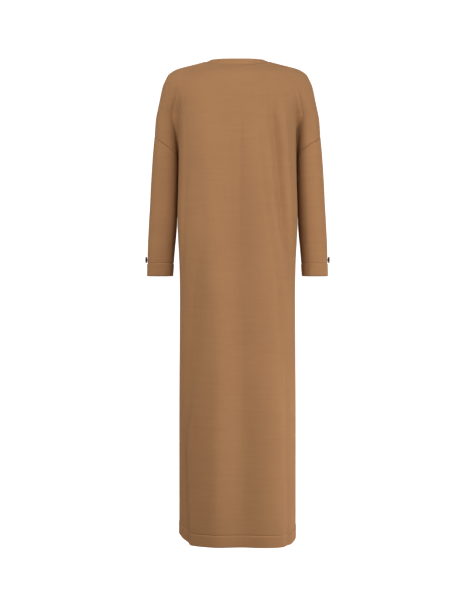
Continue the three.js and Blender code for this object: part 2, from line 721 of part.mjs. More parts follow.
function bandSection(side, col) {
  const hand = col < 0 ? -1 : 1;
  const rowSide = side === 0 ? -1 : side;
  const edge = panelPoint(rowSide, hand, Math.abs(col), 0);
  const below = panelPoint(rowSide, hand, Math.abs(col), 1);
  const upCloth = edge.outer.clone().sub(below.outer).normalize();
  for (const point of [edge.outer, edge.inner]) if (side === 0) point.setY(0);
  if (side === 0) upCloth.setY(0).normalize();
  const middle = edge.outer.clone().add(edge.inner).multiplyScalar(0.5);
  const halfX = outline(0);
  const halfY = side > 0 ? torsoFront(NECK_FRONT_Z) : torsoBack(NECK_BACK_Z);
  const outwards = new THREE.Vector3(middle.x / halfX ** 2, middle.y / halfY ** 2, 0).normalize();
  const sideways = Math.min(1, Math.abs(middle.x) / halfX) ** 2;
  const leanFrom = side > 0 ? BAND_LEAN_FRONT : BAND_LEAN_BACK;
  const lean = THREE.MathUtils.degToRad(mix(leanFrom, BAND_LEAN_SIDE, sideways));
  const up = new THREE.Vector3(0, 0, 1);
  const rise = outwards.clone().multiplyScalar(-Math.sin(lean)).addScaledVector(up, Math.cos(lean));
  const face = outwards.clone().multiplyScalar(Math.cos(lean)).addScaledVector(up, Math.sin(lean));
  const at = (u, v) => middle.clone().addScaledVector(rise, u).addScaledVector(face, v);
  const half = BAND_THICK / 2;
  const extra = (BAND_THICK - WALL) / 2;
  const rollStart = BAND_WIDTH - half;
  const lower = (point, spread) => point.clone().addScaledVector(upCloth, SEAM_GAP)
    .addScaledVector(edge.out, spread);
  const section = [lower(edge.outer, extra), at(BAND_START, half)];
  for (let i = 0; i <= BAND_ROLL_STEPS; i += 1) {
    const angle = i / BAND_ROLL_STEPS * Math.PI;
    section.push(at(rollStart + half * Math.sin(angle), half * Math.cos(angle)));
  }
  section.push(at(BAND_START, -half), lower(edge.inner, -extra));
  return section;
}

// Booleans
function toManifold(geometry) {
  const bare = geometry.clone();
  bare.deleteAttribute('normal');
  bare.deleteAttribute('uv');
  const merged = mergeVertices(bare, 1e-4);
  return new wasm.Manifold(new wasm.Mesh({
    numProp: 3,
    vertProperties: new Float32Array(merged.attributes.position.array),
    triVerts: new Uint32Array(merged.index.array),
  }));
}

function fromManifold(solid) {
  const mesh = solid.getMesh();
  const geometry = new THREE.BufferGeometry();
  geometry.setAttribute('position', new THREE.Float32BufferAttribute(mesh.vertProperties, 3));
  geometry.setIndex(Array.from(mesh.triVerts));
  return geometry;
}

// A four-hole button with a dished face, held off the cloth by its thread shank
function buttonShape() {
  const shankEnd = -(BUTTON_STAND_OFF - SEAM_GAP);
  const dishFloor = BUTTON_THICK - BUTTON_DISH;
  const profile = [
    [0, shankEnd],
    [BUTTON_SHANK_RADIUS, shankEnd],
    [BUTTON_SHANK_RADIUS, 0],
    [BUTTON_RADIUS - BUTTON_EDGE, 0],
    [BUTTON_RADIUS, BUTTON_EDGE],
    [BUTTON_RADIUS, BUTTON_THICK - BUTTON_EDGE],
    [BUTTON_RADIUS - BUTTON_EDGE, BUTTON_THICK],
    [BUTTON_RADIUS - BUTTON_RIM, BUTTON_THICK],
    [BUTTON_RADIUS - BUTTON_RIM - BUTTON_DISH, dishFloor],
    [0, dishFloor],
  ].map(([x, y]) => new THREE.Vector2(x, y));
  let solid = toManifold(new THREE.LatheGeometry(profile, BUTTON_SIDES));
  const depth = BUTTON_THICK;
  for (const x of [-HOLE_SPACING, HOLE_SPACING]) {
    for (const y of [-HOLE_SPACING, HOLE_SPACING]) {
      const hole = new THREE.CylinderGeometry(HOLE_RADIUS, HOLE_RADIUS, depth, 8);
      hole.translate(x, HOLE_FLOOR + depth / 2, y);
      solid = solid.subtract(toManifold(hole));
    }
  }
  return fromManifold(solid);
}

// Materials
const cloth = new THREE.MeshStandardMaterial({ color: 0xa67a54, roughness: 0.92, metalness: 0 });
const bandCloth = new THREE.MeshStandardMaterial({ color: 0xb0825c, roughness: 0.92, metalness: 0 });
const horn = new THREE.MeshStandardMaterial({ color: 0x3a2418, roughness: 0.35, metalness: 0 });

const dress = new THREE.Group();

function add(name, geometry, material) {
  const mesh = new THREE.Mesh(geometry, material);
  mesh.name = name;
  dress.add(mesh);
  return mesh;
}

add('back_bodice', panel(-1, 0, WAIST_ROW), cloth);
add('back_skirt', panel(-1, WAIST_ROW, LAST_ROW), cloth);
add('front_bodice', panel(1, 0, WAIST_ROW), cloth);
add('front_skirt', panel(1, WAIST_ROW, LAST_ROW), cloth);
add('sleeve_right', sleeve(1), cloth);
add('sleeve_left', sleeve(-1), cloth);
add('neck_band', neckBand(), bandCloth);

for (const [name, hand] of [['button_right', 1], ['button_left', -1]]) {
  const mesh = add(name, buttonShape(), horn);
  mesh.rotation.z = -hand * Math.PI / 2;
  mesh.position.set(hand * (outline(BUTTON_Z) + BUTTON_STAND_OFF), armMiddle(BUTTON_Z), BUTTON_Z);
}

export default dress;
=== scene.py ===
import math

import bpy
import numpy as np
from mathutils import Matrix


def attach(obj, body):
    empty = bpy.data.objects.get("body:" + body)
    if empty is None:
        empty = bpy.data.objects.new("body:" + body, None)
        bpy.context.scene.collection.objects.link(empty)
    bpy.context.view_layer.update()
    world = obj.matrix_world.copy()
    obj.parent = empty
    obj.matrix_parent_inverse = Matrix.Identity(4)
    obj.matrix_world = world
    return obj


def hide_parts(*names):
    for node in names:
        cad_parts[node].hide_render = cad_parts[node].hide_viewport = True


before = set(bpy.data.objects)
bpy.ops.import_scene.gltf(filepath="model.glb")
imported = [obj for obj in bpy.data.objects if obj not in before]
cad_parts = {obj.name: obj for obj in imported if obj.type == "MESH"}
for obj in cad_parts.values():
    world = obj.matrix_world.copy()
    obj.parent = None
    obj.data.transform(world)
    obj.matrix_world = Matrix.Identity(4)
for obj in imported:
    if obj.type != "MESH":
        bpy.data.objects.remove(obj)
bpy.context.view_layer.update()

# A long knitted dress, seen from behind, filled out as if worn.
# The sizes below are in millimetres. +X is the dress's right side, +Y its front and +Z up.
MM = 0.001
BACK, FRONT = -1, 1

# Cloth
WALL = 2.0
HEM_WALL = 3.2
HEM_PROUD = 0.9
HEM_STEP_TOP = -0.4
HEM_STEP_FOOT = -2.2
EDGE_BLUNTNESS = 0.04
STITCH_SINK = 1.1
STITCH_SPREAD = 1.3

# Side and shoulder seams, and the linked seams of armholes and neck
SEAM_GAP = 0.06
SEAM_DIP = 0.55
SEAM_SPREAD = 1.6
LINKED_GAP = 0.4
LINKED_DIP = 1.8
LINKED_SPREAD = 1.6
UNDERARM_GAP = 1.2

# Heights of the seams and edges
NECK_BACK_Z = -20.0
NECK_FRONT_Z = -80.0
NECK_BACK_ROUND = 1.05
NECK_FRONT_ROUND = 1.35
ARMHOLE_TOP_Z = -206.0
UNDERARM_Z = -280.0
NUB_END_Z = -305.0
CUFF_STITCH_Z = -562.0
CUFF_Z = -598.0
HEM_STITCH_Z = -1300.0
HEM_Z = -1333.0

# How the hem rises towards each side seam, by share of the section from the middle.
# Hand 1 is the right and -1 the left.
HEM_RISE_START = -1225.0
HEM_RISES = [
    {"side": BACK, "hand": 1, "start": 0.6, "end": 1.0, "rise": 11.0},
    {"side": BACK, "hand": -1, "start": 0.58, "end": 0.8, "rise": 20.0},
    {"side": FRONT, "hand": 1, "start": 0.6, "end": 1.0, "rise": 11.0},
    {"side": FRONT, "hand": -1, "start": 0.55, "end": 1.0, "rise": 20.0},
]

# The deep fold between body and sleeve, and where the shoulder cap divides into the two
VALLEY_X = 164.5
VALLEY_TURN = 2.5
CAP_SPLIT_SHARE = 0.776
CAP_END_Z = -70.0
SPLIT_START_Z = -160.0
ARM_POWER = 2.4
ARM_DEPTH_LIMIT = 0.9
CAP_POWER_TOP = 2.0
CAP_POWER_LOW = 2.4
CAP_POWER_Z = -85.0
ARMHOLE_BEND = 1.6
TORSO_MAIN_SHARE = 0.97
ARM_TURN_SHARE = 0.07
TURN_DEPTH_LIMIT = 0.9
PINCH_HIGH_Z = -270.0
PINCH_LOW_Z = -300.0

# Grid: the panels are laid out in columns from the middle and rows from the neck
TORSO_COLUMNS = 12
ARM_COLUMNS = 7
VALLEY_COLUMN = TORSO_COLUMNS + 1
OUTER_COLUMN = TORSO_COLUMNS + 2 + ARM_COLUMNS
YOKE_ROWS = 13
NECK_ROWS = 4

# How closely the meshes follow the form: counts, and lengths along the cloth
CURVE_STEPS = 72
RIDGE_STEPS = 400
TORSO_STEPS = 73
ARM_STEPS = 41
YOKE_STEPS = 79
SKIRT_STEPS = 132
SLEEVE_ROUND_STEPS = 49
SLEEVE_STEPS = 96
SLEEVE_FIRST_STEP = 0.02
CUFF_STEP = 4.0
ARM_HALF_GIRTH = 120.0
YOKE_LENGTH = 289.0
SLEEVE_LENGTH = 320.0
SEAM_ZONE = 6.0
SEAM_STEPS = np.array([0.5, 1.1, 1.9, 3.0, 4.6])
STITCH_STEPS = np.array([4.5, 2.8, 1.6, 0.8, 0.3, -0.2, -0.8, -1.5, -2.4, -4])
STITCH_ZONE_ABOVE = 7
STITCH_ZONE_BELOW = 8
EDGE_STEPS = np.array([3, 1.9, 1.2, 0.7, 0.3, 0])
EDGE_ZONE = 5
TURN_STEPS = np.array([0.2, 0.4, 0.6, 0.8, 0.9, 1.0])
SLEEVE_TURN_STEPS = np.array([0, 0.2, 0.4, 0.6, 0.8])
SHARP_ANGLE = math.radians(50)

# Half the width over both sleeves, at each height
OUTLINE = [
    {"z": 0, "half": 88},
    {"z": -6, "half": 111},
    {"z": -12.5, "half": 136},
    {"z": -18, "half": 158},
    {"z": -23, "half": 174},
    {"z": -30, "half": 186},
    {"z": -38, "half": 195},
    {"z": -49, "half": 200.5},
    {"z": -66, "half": 208},
    {"z": -83, "half": 212.5},
    {"z": -105, "half": 217},
    {"z": -133, "half": 223},
    {"z": -161, "half": 228.5},
    {"z": -206, "half": 232},
    {"z": -259, "half": 237},
    {"z": -340, "half": 242.5},
    {"z": -413, "half": 246.5},
    {"z": -508, "half": 252},
    {"z": -598, "half": 254.3},
]

# The arm: how far it keeps clear of the body, the middle of its depth and half its depth
ARM = [
    {"z": -70, "clear": 3.6, "middle": 0, "reach": 42},
    {"z": -206, "clear": 3.2, "middle": 4, "reach": 48},
    {"z": -280, "clear": 1.4, "middle": 6, "reach": 50},
    {"z": -305, "clear": 0.8, "middle": 7, "reach": 50},
    {"z": -424, "clear": 0.8, "middle": 11, "reach": 48},
    {"z": -450, "clear": 2, "middle": 12, "reach": 47},
    {"z": -475, "clear": 5, "middle": 14, "reach": 46},
    {"z": -550, "clear": 16, "middle": 19, "reach": 40},
    {"z": -598, "clear": 21, "middle": 22, "reach": 34},
]

# The body: half its width, and how far the back and front lie from the side seams
TORSO = [
    {"z": 0, "half": 162.6, "back": 52, "front": 40, "power": 3.7},
    {"z": -20, "half": 162.6, "back": 66, "front": 43, "power": 3.7},
    {"z": -40, "half": 162.6, "back": 86, "front": 48, "power": 3.7},
    {"z": -60, "half": 162.6, "back": 97, "front": 54, "power": 3.7},
    {"z": -85, "half": 162.6, "back": 104, "front": 62, "power": 3.7},
    {"z": -120, "half": 162.6, "back": 108, "front": 80, "power": 3.7},
    {"z": -160, "half": 162.6, "back": 110, "front": 96, "power": 3.7},
    {"z": -200, "half": 162.8, "back": 111, "front": 106, "power": 3.7},
    {"z": -250, "half": 163.1, "back": 111.5, "front": 112, "power": 3.65},
    {"z": -290, "half": 163.6, "back": 111.5, "front": 114, "power": 3.6},
    {"z": -350, "half": 165, "back": 111.5, "front": 113, "power": 3.5},
    {"z": -420, "half": 167, "back": 111, "front": 111, "power": 3.4},
    {"z": -450, "half": 167.2, "back": 111, "front": 110, "power": 3.35},
    {"z": -500, "half": 165.2, "back": 111, "front": 109, "power": 3.3},
    {"z": -560, "half": 162.2, "back": 111, "front": 109, "power": 3.2},
    {"z": -640, "half": 160.6, "back": 111, "front": 109, "power": 3.1},
    {"z": -1000, "half": 162.5, "back": 112, "front": 111, "power": 2.8},
    {"z": -1333, "half": 162.5, "back": 114, "front": 112, "power": 2.7},
]

# How far the floor of the fold beside the body lies from the side seams
VALLEY = [
    {"z": -70, "floor": 72},
    {"z": -100, "floor": 62},
    {"z": -130, "floor": 50},
    {"z": -160, "floor": 39},
    {"z": -200, "floor": 27},
    {"z": -240, "floor": 15},
    {"z": -270, "floor": 6},
    {"z": -280, "floor": 0.15},
]

# Hanging folds of the body: x at each height, the spread towards -X and towards +X and the
# rise. A negative rise is a trough.
BODY_FOLDS = [
    {"side": BACK, "low": 48, "high": 13, "rise": 15,
     "z": [-170, -395, -530, -665, -935, -1333], "x": [42, 66, 84, 98, 109, 114]},
    {"side": BACK, "low": 10, "high": 8, "rise": -13,
     "z": [-126, -260, -395, -490, -557], "x": [92, 108, 119, 132, 145]},
    {"side": BACK, "low": 9, "high": 8, "rise": 5,
     "z": [-126, -260, -395, -470], "x": [124, 134, 143, 150]},
    {"side": BACK, "low": 9, "high": 9, "rise": 3.5,
     "z": [-560, -665, -880, -1333], "x": [122, 134, 140, 142]},
    {"side": BACK, "low": 24, "high": 24, "rise": -4.5,
     "z": [-150, -560, -935, -1333], "x": [-8, -2, 10, 16]},
    {"side": BACK, "low": 20, "high": 20, "rise": 4,
     "z": [-207, -665, -935, -1333], "x": [-82, -58, -52, -56]},
    {"side": BACK, "low": 6, "high": 8, "rise": -3,
     "z": [-234, -395, -530, -638], "x": [-138, -145, -150, -154]},
    {"side": BACK, "low": 8, "high": 10, "rise": -7,
     "z": [-602, -777, -945, -1085], "x": [-108, -118, -135, -150]},
    {"side": BACK, "low": 9, "high": 9, "rise": -9, "z": [-1040, -1333], "x": [-150, -141]},
    {"side": FRONT, "low": 34, "high": 30, "rise": 8, "z": [-330, -700, -1333], "x": [66, 84, 98]},
    {"side": FRONT, "low": 30, "high": 34, "rise": 7, "z": [-330, -760, -1333], "x": [-62, -78, -102]},
    {"side": FRONT, "low": 20, "high": 20, "rise": -6, "z": [-360, -800, -1333], "x": [8, 14, 6]},
    {"side": FRONT, "low": 12, "high": 12, "rise": -7, "z": [-300, -520, -700], "x": [116, 130, 146]},
    {"side": FRONT, "low": 12, "high": 12, "rise": -7, "z": [-620, -850, -1100],
     "x": [-118, -130, -146]},
]
FOLD_FADE = 110.0
FOLD_EASE_SHARE = 0.9
FOLD_AT_SEAM = 0.25

# Soft creases across the sleeves: a height on the outer side and one on the inner side
SLEEVE_CREASES = [
    {"side": BACK, "outer": -392, "inner": -430, "spread": 16, "rise": -1.6},
    {"side": FRONT, "outer": -356, "inner": -402, "spread": 14, "rise": -2.2},
    {"side": FRONT, "outer": -405, "inner": -440, "spread": 13, "rise": -2.4},
    {"side": BACK, "outer": -470, "inner": -500, "spread": 15, "rise": -1.3},
]


# Numbers and tables

def mix(a, b, share):
    return a + (b - a) * share


def smooth(low, high, value):
    share = np.clip((value - low) / (high - low), 0.0, 1.0)
    return share * share * (3 - 2 * share)


def curve_through(heights, values):
    """A smooth function of height through some points, without overshoot."""
    z = np.array(heights, float)
    v = np.array(values, float)
    step = np.diff(z)
    slope = np.diff(v) / step
    tangent = np.zeros(len(v))
    tangent[0], tangent[-1] = slope[0], slope[-1]
    for i in range(1, len(v) - 1):
        if slope[i - 1] * slope[i] > 0:
            tangent[i] = 2 * slope[i - 1] * slope[i] / (slope[i - 1] + slope[i])

    def at(height):
        h = np.clip(np.asarray(height, float), z[-1], z[0])
        i = np.clip(np.searchsorted(-z, -h, side="right") - 1, 0, len(z) - 2)
        t = (h - z[i]) / step[i]
        start = v[i] * (1 + 2 * t) * (1 - t) ** 2 + tangent[i] * step[i] * t * (1 - t) ** 2
        end = v[i + 1] * t * t * (3 - 2 * t) - tangent[i + 1] * step[i] * t * t * (1 - t)
        return start + end

    return at


def column(table, name):
    return curve_through([row["z"] for row in table], [row[name] for row in table])


outline = column(OUTLINE, "half")
arm_clear = column(ARM, "clear")
arm_middle = column(ARM, "middle")
arm_reach = column(ARM, "reach")
torso_half = column(TORSO, "half")
torso_back = column(TORSO, "back")
torso_front = column(TORSO, "front")
torso_power = column(TORSO, "power")
valley_floor = column(VALLEY, "floor")


def arm_inner(z):
    return torso_half(z) + arm_clear(z)


def torso_depth(side, z):
    return torso_back(z) if side < 0 else torso_front(z)


# Sections of the garment. A section is a plane curve of x and depth, where depth is
# measured from the plane of the side seams, to the back or to the front.

def running(steps, axis):
    """Running totals of steps along an axis, from 0."""
    totals = np.cumsum(steps, axis=axis)
    return np.concatenate([np.zeros_like(totals.take([0], axis)), totals], axis=axis)


def curve_lengths(x, depth):
    """Lengths along plane curves from their first points. Each row is a curve."""
    return running(np.hypot(np.diff(x, axis=1), np.diff(depth, axis=1)), 1)


def along(curve, start, end, share):
    """The point at a share of a curve's length. The curve is a function of an angle."""
    steps = np.linspace(0, 1, CURVE_STEPS + 1)
    start = np.asarray(start, float)[:, None]
    end = np.asarray(end, float)[:, None]
    angles = start + (end - start) * steps
    lengths = curve_lengths(*curve(angles))
    target = share * lengths[:, -1]
    i = np.clip((lengths < target[:, None]).sum(axis=1), 1, CURVE_STEPS)
    rows = np.arange(len(i))
    before, after = lengths[rows, i - 1], lengths[rows, i]
    part = (target - before) / np.maximum(after - before, 1e-9)
    angle = mix(angles[rows, i - 1], angles[rows, i], part)[:, None]
    x, depth = curve(angle)
    return x[:, 0], depth[:, 0]


def superellipse(half, depth, power):
    half, depth, power = (np.asarray(v, float)[:, None] for v in (half, depth, power))

    def at(angle):
        x = half * np.abs(np.sin(angle)) ** (2 / power)
        return x, depth * np.abs(np.cos(angle)) ** (2 / power)

    return at


def depth_angle(part, power):
    """The superellipse's angle where the depth has fallen to a part of its greatest."""
    return np.arccos(np.clip(part, 0, 1) ** (power / 2))


def torso_point(side, z, share):
    """A point of the body's section: share 0 at the middle, 1 at the valley or side seam."""
    half, depth = torso_half(z), torso_depth(side, z)
    power = torso_power(z)
    body = superellipse(half, depth, power)
    in_turn = share > TORSO_MAIN_SHARE
    main_local = np.clip(share / TORSO_MAIN_SHARE, 0, 1)
    turn_local = np.clip((share - TORSO_MAIN_SHARE) / (1 - TORSO_MAIN_SHARE), 0, 1)
    nub = 1 - smooth(NUB_END_Z, UNDERARM_Z, z)
    floor = valley_floor(z)
    turn_depth = np.minimum(floor + VALLEY_TURN, TURN_DEPTH_LIMIT * depth)
    zero = np.zeros_like(z)

    end = depth_angle(turn_depth / depth, power)
    corner = half * np.sin(end) ** (2 / power)

    def turn(angle):
        x = VALLEY_X - (VALLEY_X - corner[:, None]) * np.cos(angle)
        return x, turn_depth[:, None] - (turn_depth - floor)[:, None] * np.sin(angle)

    main = along(body, zero, end, main_local)
    divided = np.where(in_turn, along(turn, zero, zero + math.pi / 2, turn_local), main)
    edge = depth_angle(VALLEY_TURN / depth, power)
    seam = depth_angle(SEAM_GAP / 2 / depth, power)
    main = along(body, zero, edge, main_local)
    plain = np.where(in_turn, along(body, edge, seam, turn_local), main)
    return mix(divided, plain, nub)


def arm_point(side, z, share):
    """A point of the arm's section: share 0 at the valley or inner side, 1 on the outer side."""
    inner, outer = arm_inner(z), outline(z)
    middle, reach = side * arm_middle(z), arm_reach(z)
    radius = (outer - inner) / 2
    in_turn = share < ARM_TURN_SHARE
    turn_local = np.clip(share / ARM_TURN_SHARE, 0, 1)
    main_local = np.clip((share - ARM_TURN_SHARE) / (1 - ARM_TURN_SHARE), 0, 1)
    nub = 1 - smooth(NUB_END_Z, UNDERARM_Z, z)
    floor = valley_floor(z)
    zero = np.zeros_like(z)

    def rounded(value):
        return np.sign(value) * np.abs(value) ** (2 / ARM_POWER)

    def angle_at(depth):
        level = np.clip((depth - middle) / reach, -ARM_DEPTH_LIMIT, ARM_DEPTH_LIMIT)
        return np.arcsin(np.sign(level) * np.abs(level) ** (ARM_POWER / 2))

    def ellipse(angle):
        x = inner[:, None] + radius[:, None] * (1 - rounded(np.cos(angle)))
        return x, middle[:, None] + reach[:, None] * rounded(np.sin(angle))

    start = angle_at(floor + VALLEY_TURN)
    corner_x = inner + radius * (1 - rounded(np.cos(start)))
    corner_d = middle + reach * rounded(np.sin(start))

    def turn(angle):
        x = VALLEY_X + (corner_x[:, None] - VALLEY_X) * np.sin(angle)
        return x, corner_d[:, None] - (corner_d - floor)[:, None] * np.cos(angle)

    main = along(ellipse, start, zero + math.pi, main_local)
    divided = np.where(in_turn, along(turn, zero, zero + math.pi / 2, turn_local), main)
    seam, edge = angle_at(zero), angle_at(zero + VALLEY_TURN)
    main = along(ellipse, edge, zero + math.pi, main_local)
    plain = np.where(in_turn, along(ellipse, seam, edge, turn_local), main)
    return mix(divided, plain, nub)


# The shoulder line's height, by share of its length from the neck to the armhole
ridge_z = ARMHOLE_TOP_Z * np.linspace(0, 1, RIDGE_STEPS) ** 2
ridge_x = outline(ridge_z)
ridge_length = running(np.hypot(np.diff(ridge_x), np.diff(ridge_z)), 0)


def ridge_height(share):
    return np.interp(share * ridge_length[-1], ridge_length, ridge_z)


def armhole_drop(share):
    return (ARMHOLE_TOP_Z - UNDERARM_Z) * (1 - share) ** ARMHOLE_BEND


def torso_share(col):
    outer = mix(TORSO_MAIN_SHARE, 1, col - TORSO_COLUMNS)
    return np.where(col <= TORSO_COLUMNS, TORSO_MAIN_SHARE * col / TORSO_COLUMNS, outer)


def arm_share(col):
    past = col - VALLEY_COLUMN
    return np.where(past <= 1, ARM_TURN_SHARE * past, mix(ARM_TURN_SHARE, 1, (past - 1) / ARM_COLUMNS))


def cap_point(side, z, neck_x, neck_weight, col):
    """A point of the shoulder cap, where body and sleeve are one smooth section."""
    half, depth = outline(z), torso_depth(side, z)
    power = mix(CAP_POWER_TOP, CAP_POWER_LOW, 1 - smooth(CAP_POWER_Z, 0, z))
    cap = superellipse(half, depth, power)
    zero = np.zeros_like(z)
    steps = np.linspace(0, math.pi / 2, CURVE_STEPS + 1)
    x, d = cap(np.tile(steps, (len(z), 1)))
    lengths = curve_lengths(x, d)
    split_x = np.minimum(VALLEY_X, CAP_SPLIT_SHARE * half)
    i = np.clip((x < split_x[:, None]).sum(axis=1), 1, CURVE_STEPS)
    rows = np.arange(len(i))
    part = (split_x - x[rows, i - 1]) / (x[rows, i] - x[rows, i - 1])
    split = mix(lengths[rows, i - 1], lengths[rows, i], part)
    total = lengths[:, -1]
    marks = np.stack([zero, split - VALLEY_TURN, split, split + VALLEY_TURN, total])
    limits = [0, TORSO_COLUMNS, VALLEY_COLUMN, VALLEY_COLUMN + 1, OUTER_COLUMN]
    length = zero
    for zone in range(4):
        part = (col - limits[zone]) / (limits[zone + 1] - limits[zone])
        inside = (col >= limits[zone]) & (col <= limits[zone + 1])
        length = np.where(inside, mix(marks[zone], marks[zone + 1], part), length)
    zone_x, zone_d = along(cap, zero, zero + math.pi / 2, length / total)
    x = mix(zone_x, neck_x, neck_weight)
    d = depth * np.clip(1 - (x / half) ** power, 0, 1) ** (1 / power)
    return x, np.where(neck_weight > 0, d, zone_d)


def yoke_point(side, col, row):
    """A point of a panel above the underarm, as x, depth and z."""
    down = row / YOKE_ROWS
    top_z = ridge_height(down)
    drop = top_z / ARMHOLE_TOP_Z
    middle_z = mix(NECK_BACK_Z if side < 0 else NECK_FRONT_Z, UNDERARM_Z, down)
    on_body = col <= VALLEY_COLUMN
    valley_z = top_z - drop * armhole_drop(0)
    body_z = mix(middle_z, valley_z, torso_share(np.minimum(col, VALLEY_COLUMN)) ** 2)
    arm_z = top_z - drop * armhole_drop(arm_share(np.maximum(col, VALLEY_COLUMN)))
    zone_z = np.where(on_body, body_z, arm_z)
    angle = col / OUTER_COLUMN * math.pi / 2
    near_neck = 1 - smooth(0, NECK_ROWS, row)
    bend = NECK_BACK_ROUND if side < 0 else NECK_FRONT_ROUND
    ring_z = top_z + (middle_z - top_z) * np.clip(np.cos(angle), 0, 1) ** bend
    z = mix(zone_z, ring_z, near_neck)
    divide = 1 - smooth(SPLIT_START_Z, CAP_END_Z, z)
    cap_x, cap_d = cap_point(side, z, outline(top_z) * np.sin(angle), near_neck, col)
    body_x, body_d = torso_point(side, z, torso_share(np.minimum(col, VALLEY_COLUMN)))
    arm_x, arm_d = arm_point(side, z, arm_share(np.maximum(col, VALLEY_COLUMN)))
    shift = (1 - divide) * side * arm_middle(z) * smooth(0, OUTER_COLUMN, col)
    x = mix(cap_x, np.where(on_body, body_x, arm_x), divide)
    depth = mix(cap_d, np.where(on_body, body_d, arm_d), divide) + shift
    return x, depth, z


# Folds

GIRTH_STEP = 4.0
GIRTH_LEVELS = np.arange(0, HEM_Z - 2 * GIRTH_STEP, -GIRTH_STEP)
GIRTH_ANGLES = np.linspace(0, math.pi / 2, 129)


def girth_table(side):
    """The length of the body's section from its middle, for each height and angle."""
    z = GIRTH_LEVELS
    body = superellipse(torso_half(z), torso_depth(side, z), torso_power(z))
    return curve_lengths(*body(np.tile(GIRTH_ANGLES, (len(z), 1))))


GIRTHS = {side: girth_table(side) for side in (BACK, FRONT)}


def girth(side, x, z):
    """The distance round the body from its middle line to x, positive to the right."""
    share = np.clip(np.abs(x) / torso_half(z), 0, 1) ** (torso_power(z) / 2)
    place = np.arcsin(share) / (math.pi / 2) * (len(GIRTH_ANGLES) - 1)
    level = np.clip(z / GIRTH_LEVELS[-1], 0, 1) * (len(GIRTH_LEVELS) - 1)
    i = np.clip(place.astype(int), 0, len(GIRTH_ANGLES) - 2)
    j = np.clip(level.astype(int), 0, len(GIRTH_LEVELS) - 2)
    a, b = place - i, level - j
    table = GIRTHS[side]
    upper = mix(table[j, i], table[j, i + 1], a)
    lower = mix(table[j + 1, i], table[j + 1, i + 1], a)
    return np.sign(x) * mix(upper, lower, b)


def body_fold(side, x, z):
    """How far the hanging folds push a point of the body out."""
    here = girth(side, x, z)
    limit = girth(side, torso_half(z), z)
    push = np.zeros_like(z)
    for fold in BODY_FOLDS:
        if fold["side"] != side:
            continue
        top, bottom = fold["z"][0], fold["z"][-1]
        centre = girth(side, curve_through(fold["z"], fold["x"])(z), z)
        fade = 1 - smooth(top - FOLD_FADE, top + FOLD_FADE, z)
        if bottom > HEM_Z:
            fade = fade * smooth(bottom - FOLD_FADE, bottom + FOLD_FADE, z)
        past = here - centre
        off = past / np.where(past < 0, fold["low"], fold["high"])
        push += fold["rise"] * fade * np.exp(-off * off / 2)
    off_seam = 1 - smooth(FOLD_EASE_SHARE, 1, np.abs(here) / limit)
    return push * mix(FOLD_AT_SEAM, 1, off_seam)


def sleeve_fold(side, z, share):
    push = np.zeros_like(z)
    for crease in SLEEVE_CREASES:
        if crease["side"] == side:
            off = (z - mix(crease["inner"], crease["outer"], share)) / crease["spread"]
            push += crease["rise"] * np.exp(-off * off / 2) * np.sin(math.pi * share)
    return push


# Meshes

def grid_normals(points):
    """Unit normals of a grid of points, from its neighbours along rows and columns."""
    down = np.gradient(points, axis=0)
    across = np.gradient(points, axis=1)
    normals = np.cross(down, across)
    return normals / np.maximum(np.linalg.norm(normals, axis=2, keepdims=True), 1e-12)


def grid_distances(points, axis):
    """Distances along the rows or columns of a grid of points, from the first point of each."""
    return running(np.linalg.norm(np.diff(points, axis=axis), axis=2), axis)


def grid_quads(ids):
    corners = [ids[:-1, :-1], ids[1:, :-1], ids[1:, 1:], ids[:-1, 1:]]
    return np.stack([corner.ravel() for corner in corners], axis=1)


def solid_mesh(name, points, faces, uv=None):
    """A smooth piece from points in millimetres, with knit coordinates where it has any."""
    mesh = bpy.data.meshes.new(name)
    mesh.from_pydata((np.asarray(points) * MM).tolist(), [], [list(map(int, face)) for face in faces])
    if uv is not None:
        layer = mesh.uv_layers.new(name="knit")
        loops = np.empty(len(mesh.loops), dtype=np.int32)
        mesh.loops.foreach_get("vertex_index", loops)
        layer.data.foreach_set("uv", (uv * MM)[loops].ravel())
    mesh.polygons.foreach_set("use_smooth", np.ones(len(mesh.polygons), dtype=bool))
    mesh.set_sharp_from_angle(angle=SHARP_ANGLE)
    mesh.update()
    piece = bpy.data.objects.new(name, mesh)
    bpy.context.collection.objects.link(piece)
    return piece


def wall_mesh(name, outer, inner, uv, quads):
    """A closed wall between two skins that share one list of quads, turned to face out."""
    count = len(outer)
    points = np.concatenate([outer, inner])
    edges = np.concatenate([quads[:, [i, (i + 1) % 4]] for i in range(4)])
    forward = edges[:, 0] * count + edges[:, 1]
    backward = edges[:, 1] * count + edges[:, 0]
    rim = edges[~np.isin(backward, forward)]
    strips = np.stack([rim[:, 1], rim[:, 0], rim[:, 0] + count, rim[:, 1] + count], axis=1)
    faces = np.concatenate([quads, quads[:, ::-1] + count, strips])
    return solid_mesh(name, points, faces, np.concatenate([uv, uv]))


def edge_dip(distance, dip=SEAM_DIP, spread=SEAM_SPREAD):
    """How far the cloth sinks beside a sewn seam."""
    return -dip * np.exp(-(distance / spread) ** 2)


def hem_profile(above_stitch, above_edge):
    """The push out and the wall's thickness near a stitch line and a turned edge."""
    turned = 1 - smooth(HEM_STEP_FOOT, HEM_STEP_TOP, above_stitch)
    push = HEM_PROUD * turned - STITCH_SINK * np.exp(-(above_stitch / STITCH_SPREAD) ** 2)
    thick = mix(WALL, HEM_WALL, turned)
    radius = HEM_WALL / 2
    near = np.clip(radius - above_edge, 0, radius)
    half = np.sqrt(np.maximum(radius ** 2 - near ** 2, EDGE_BLUNTNESS * radius ** 2)) / radius
    trim = thick / 2 * (1 - half)
    return push - trim, thick - 2 * trim


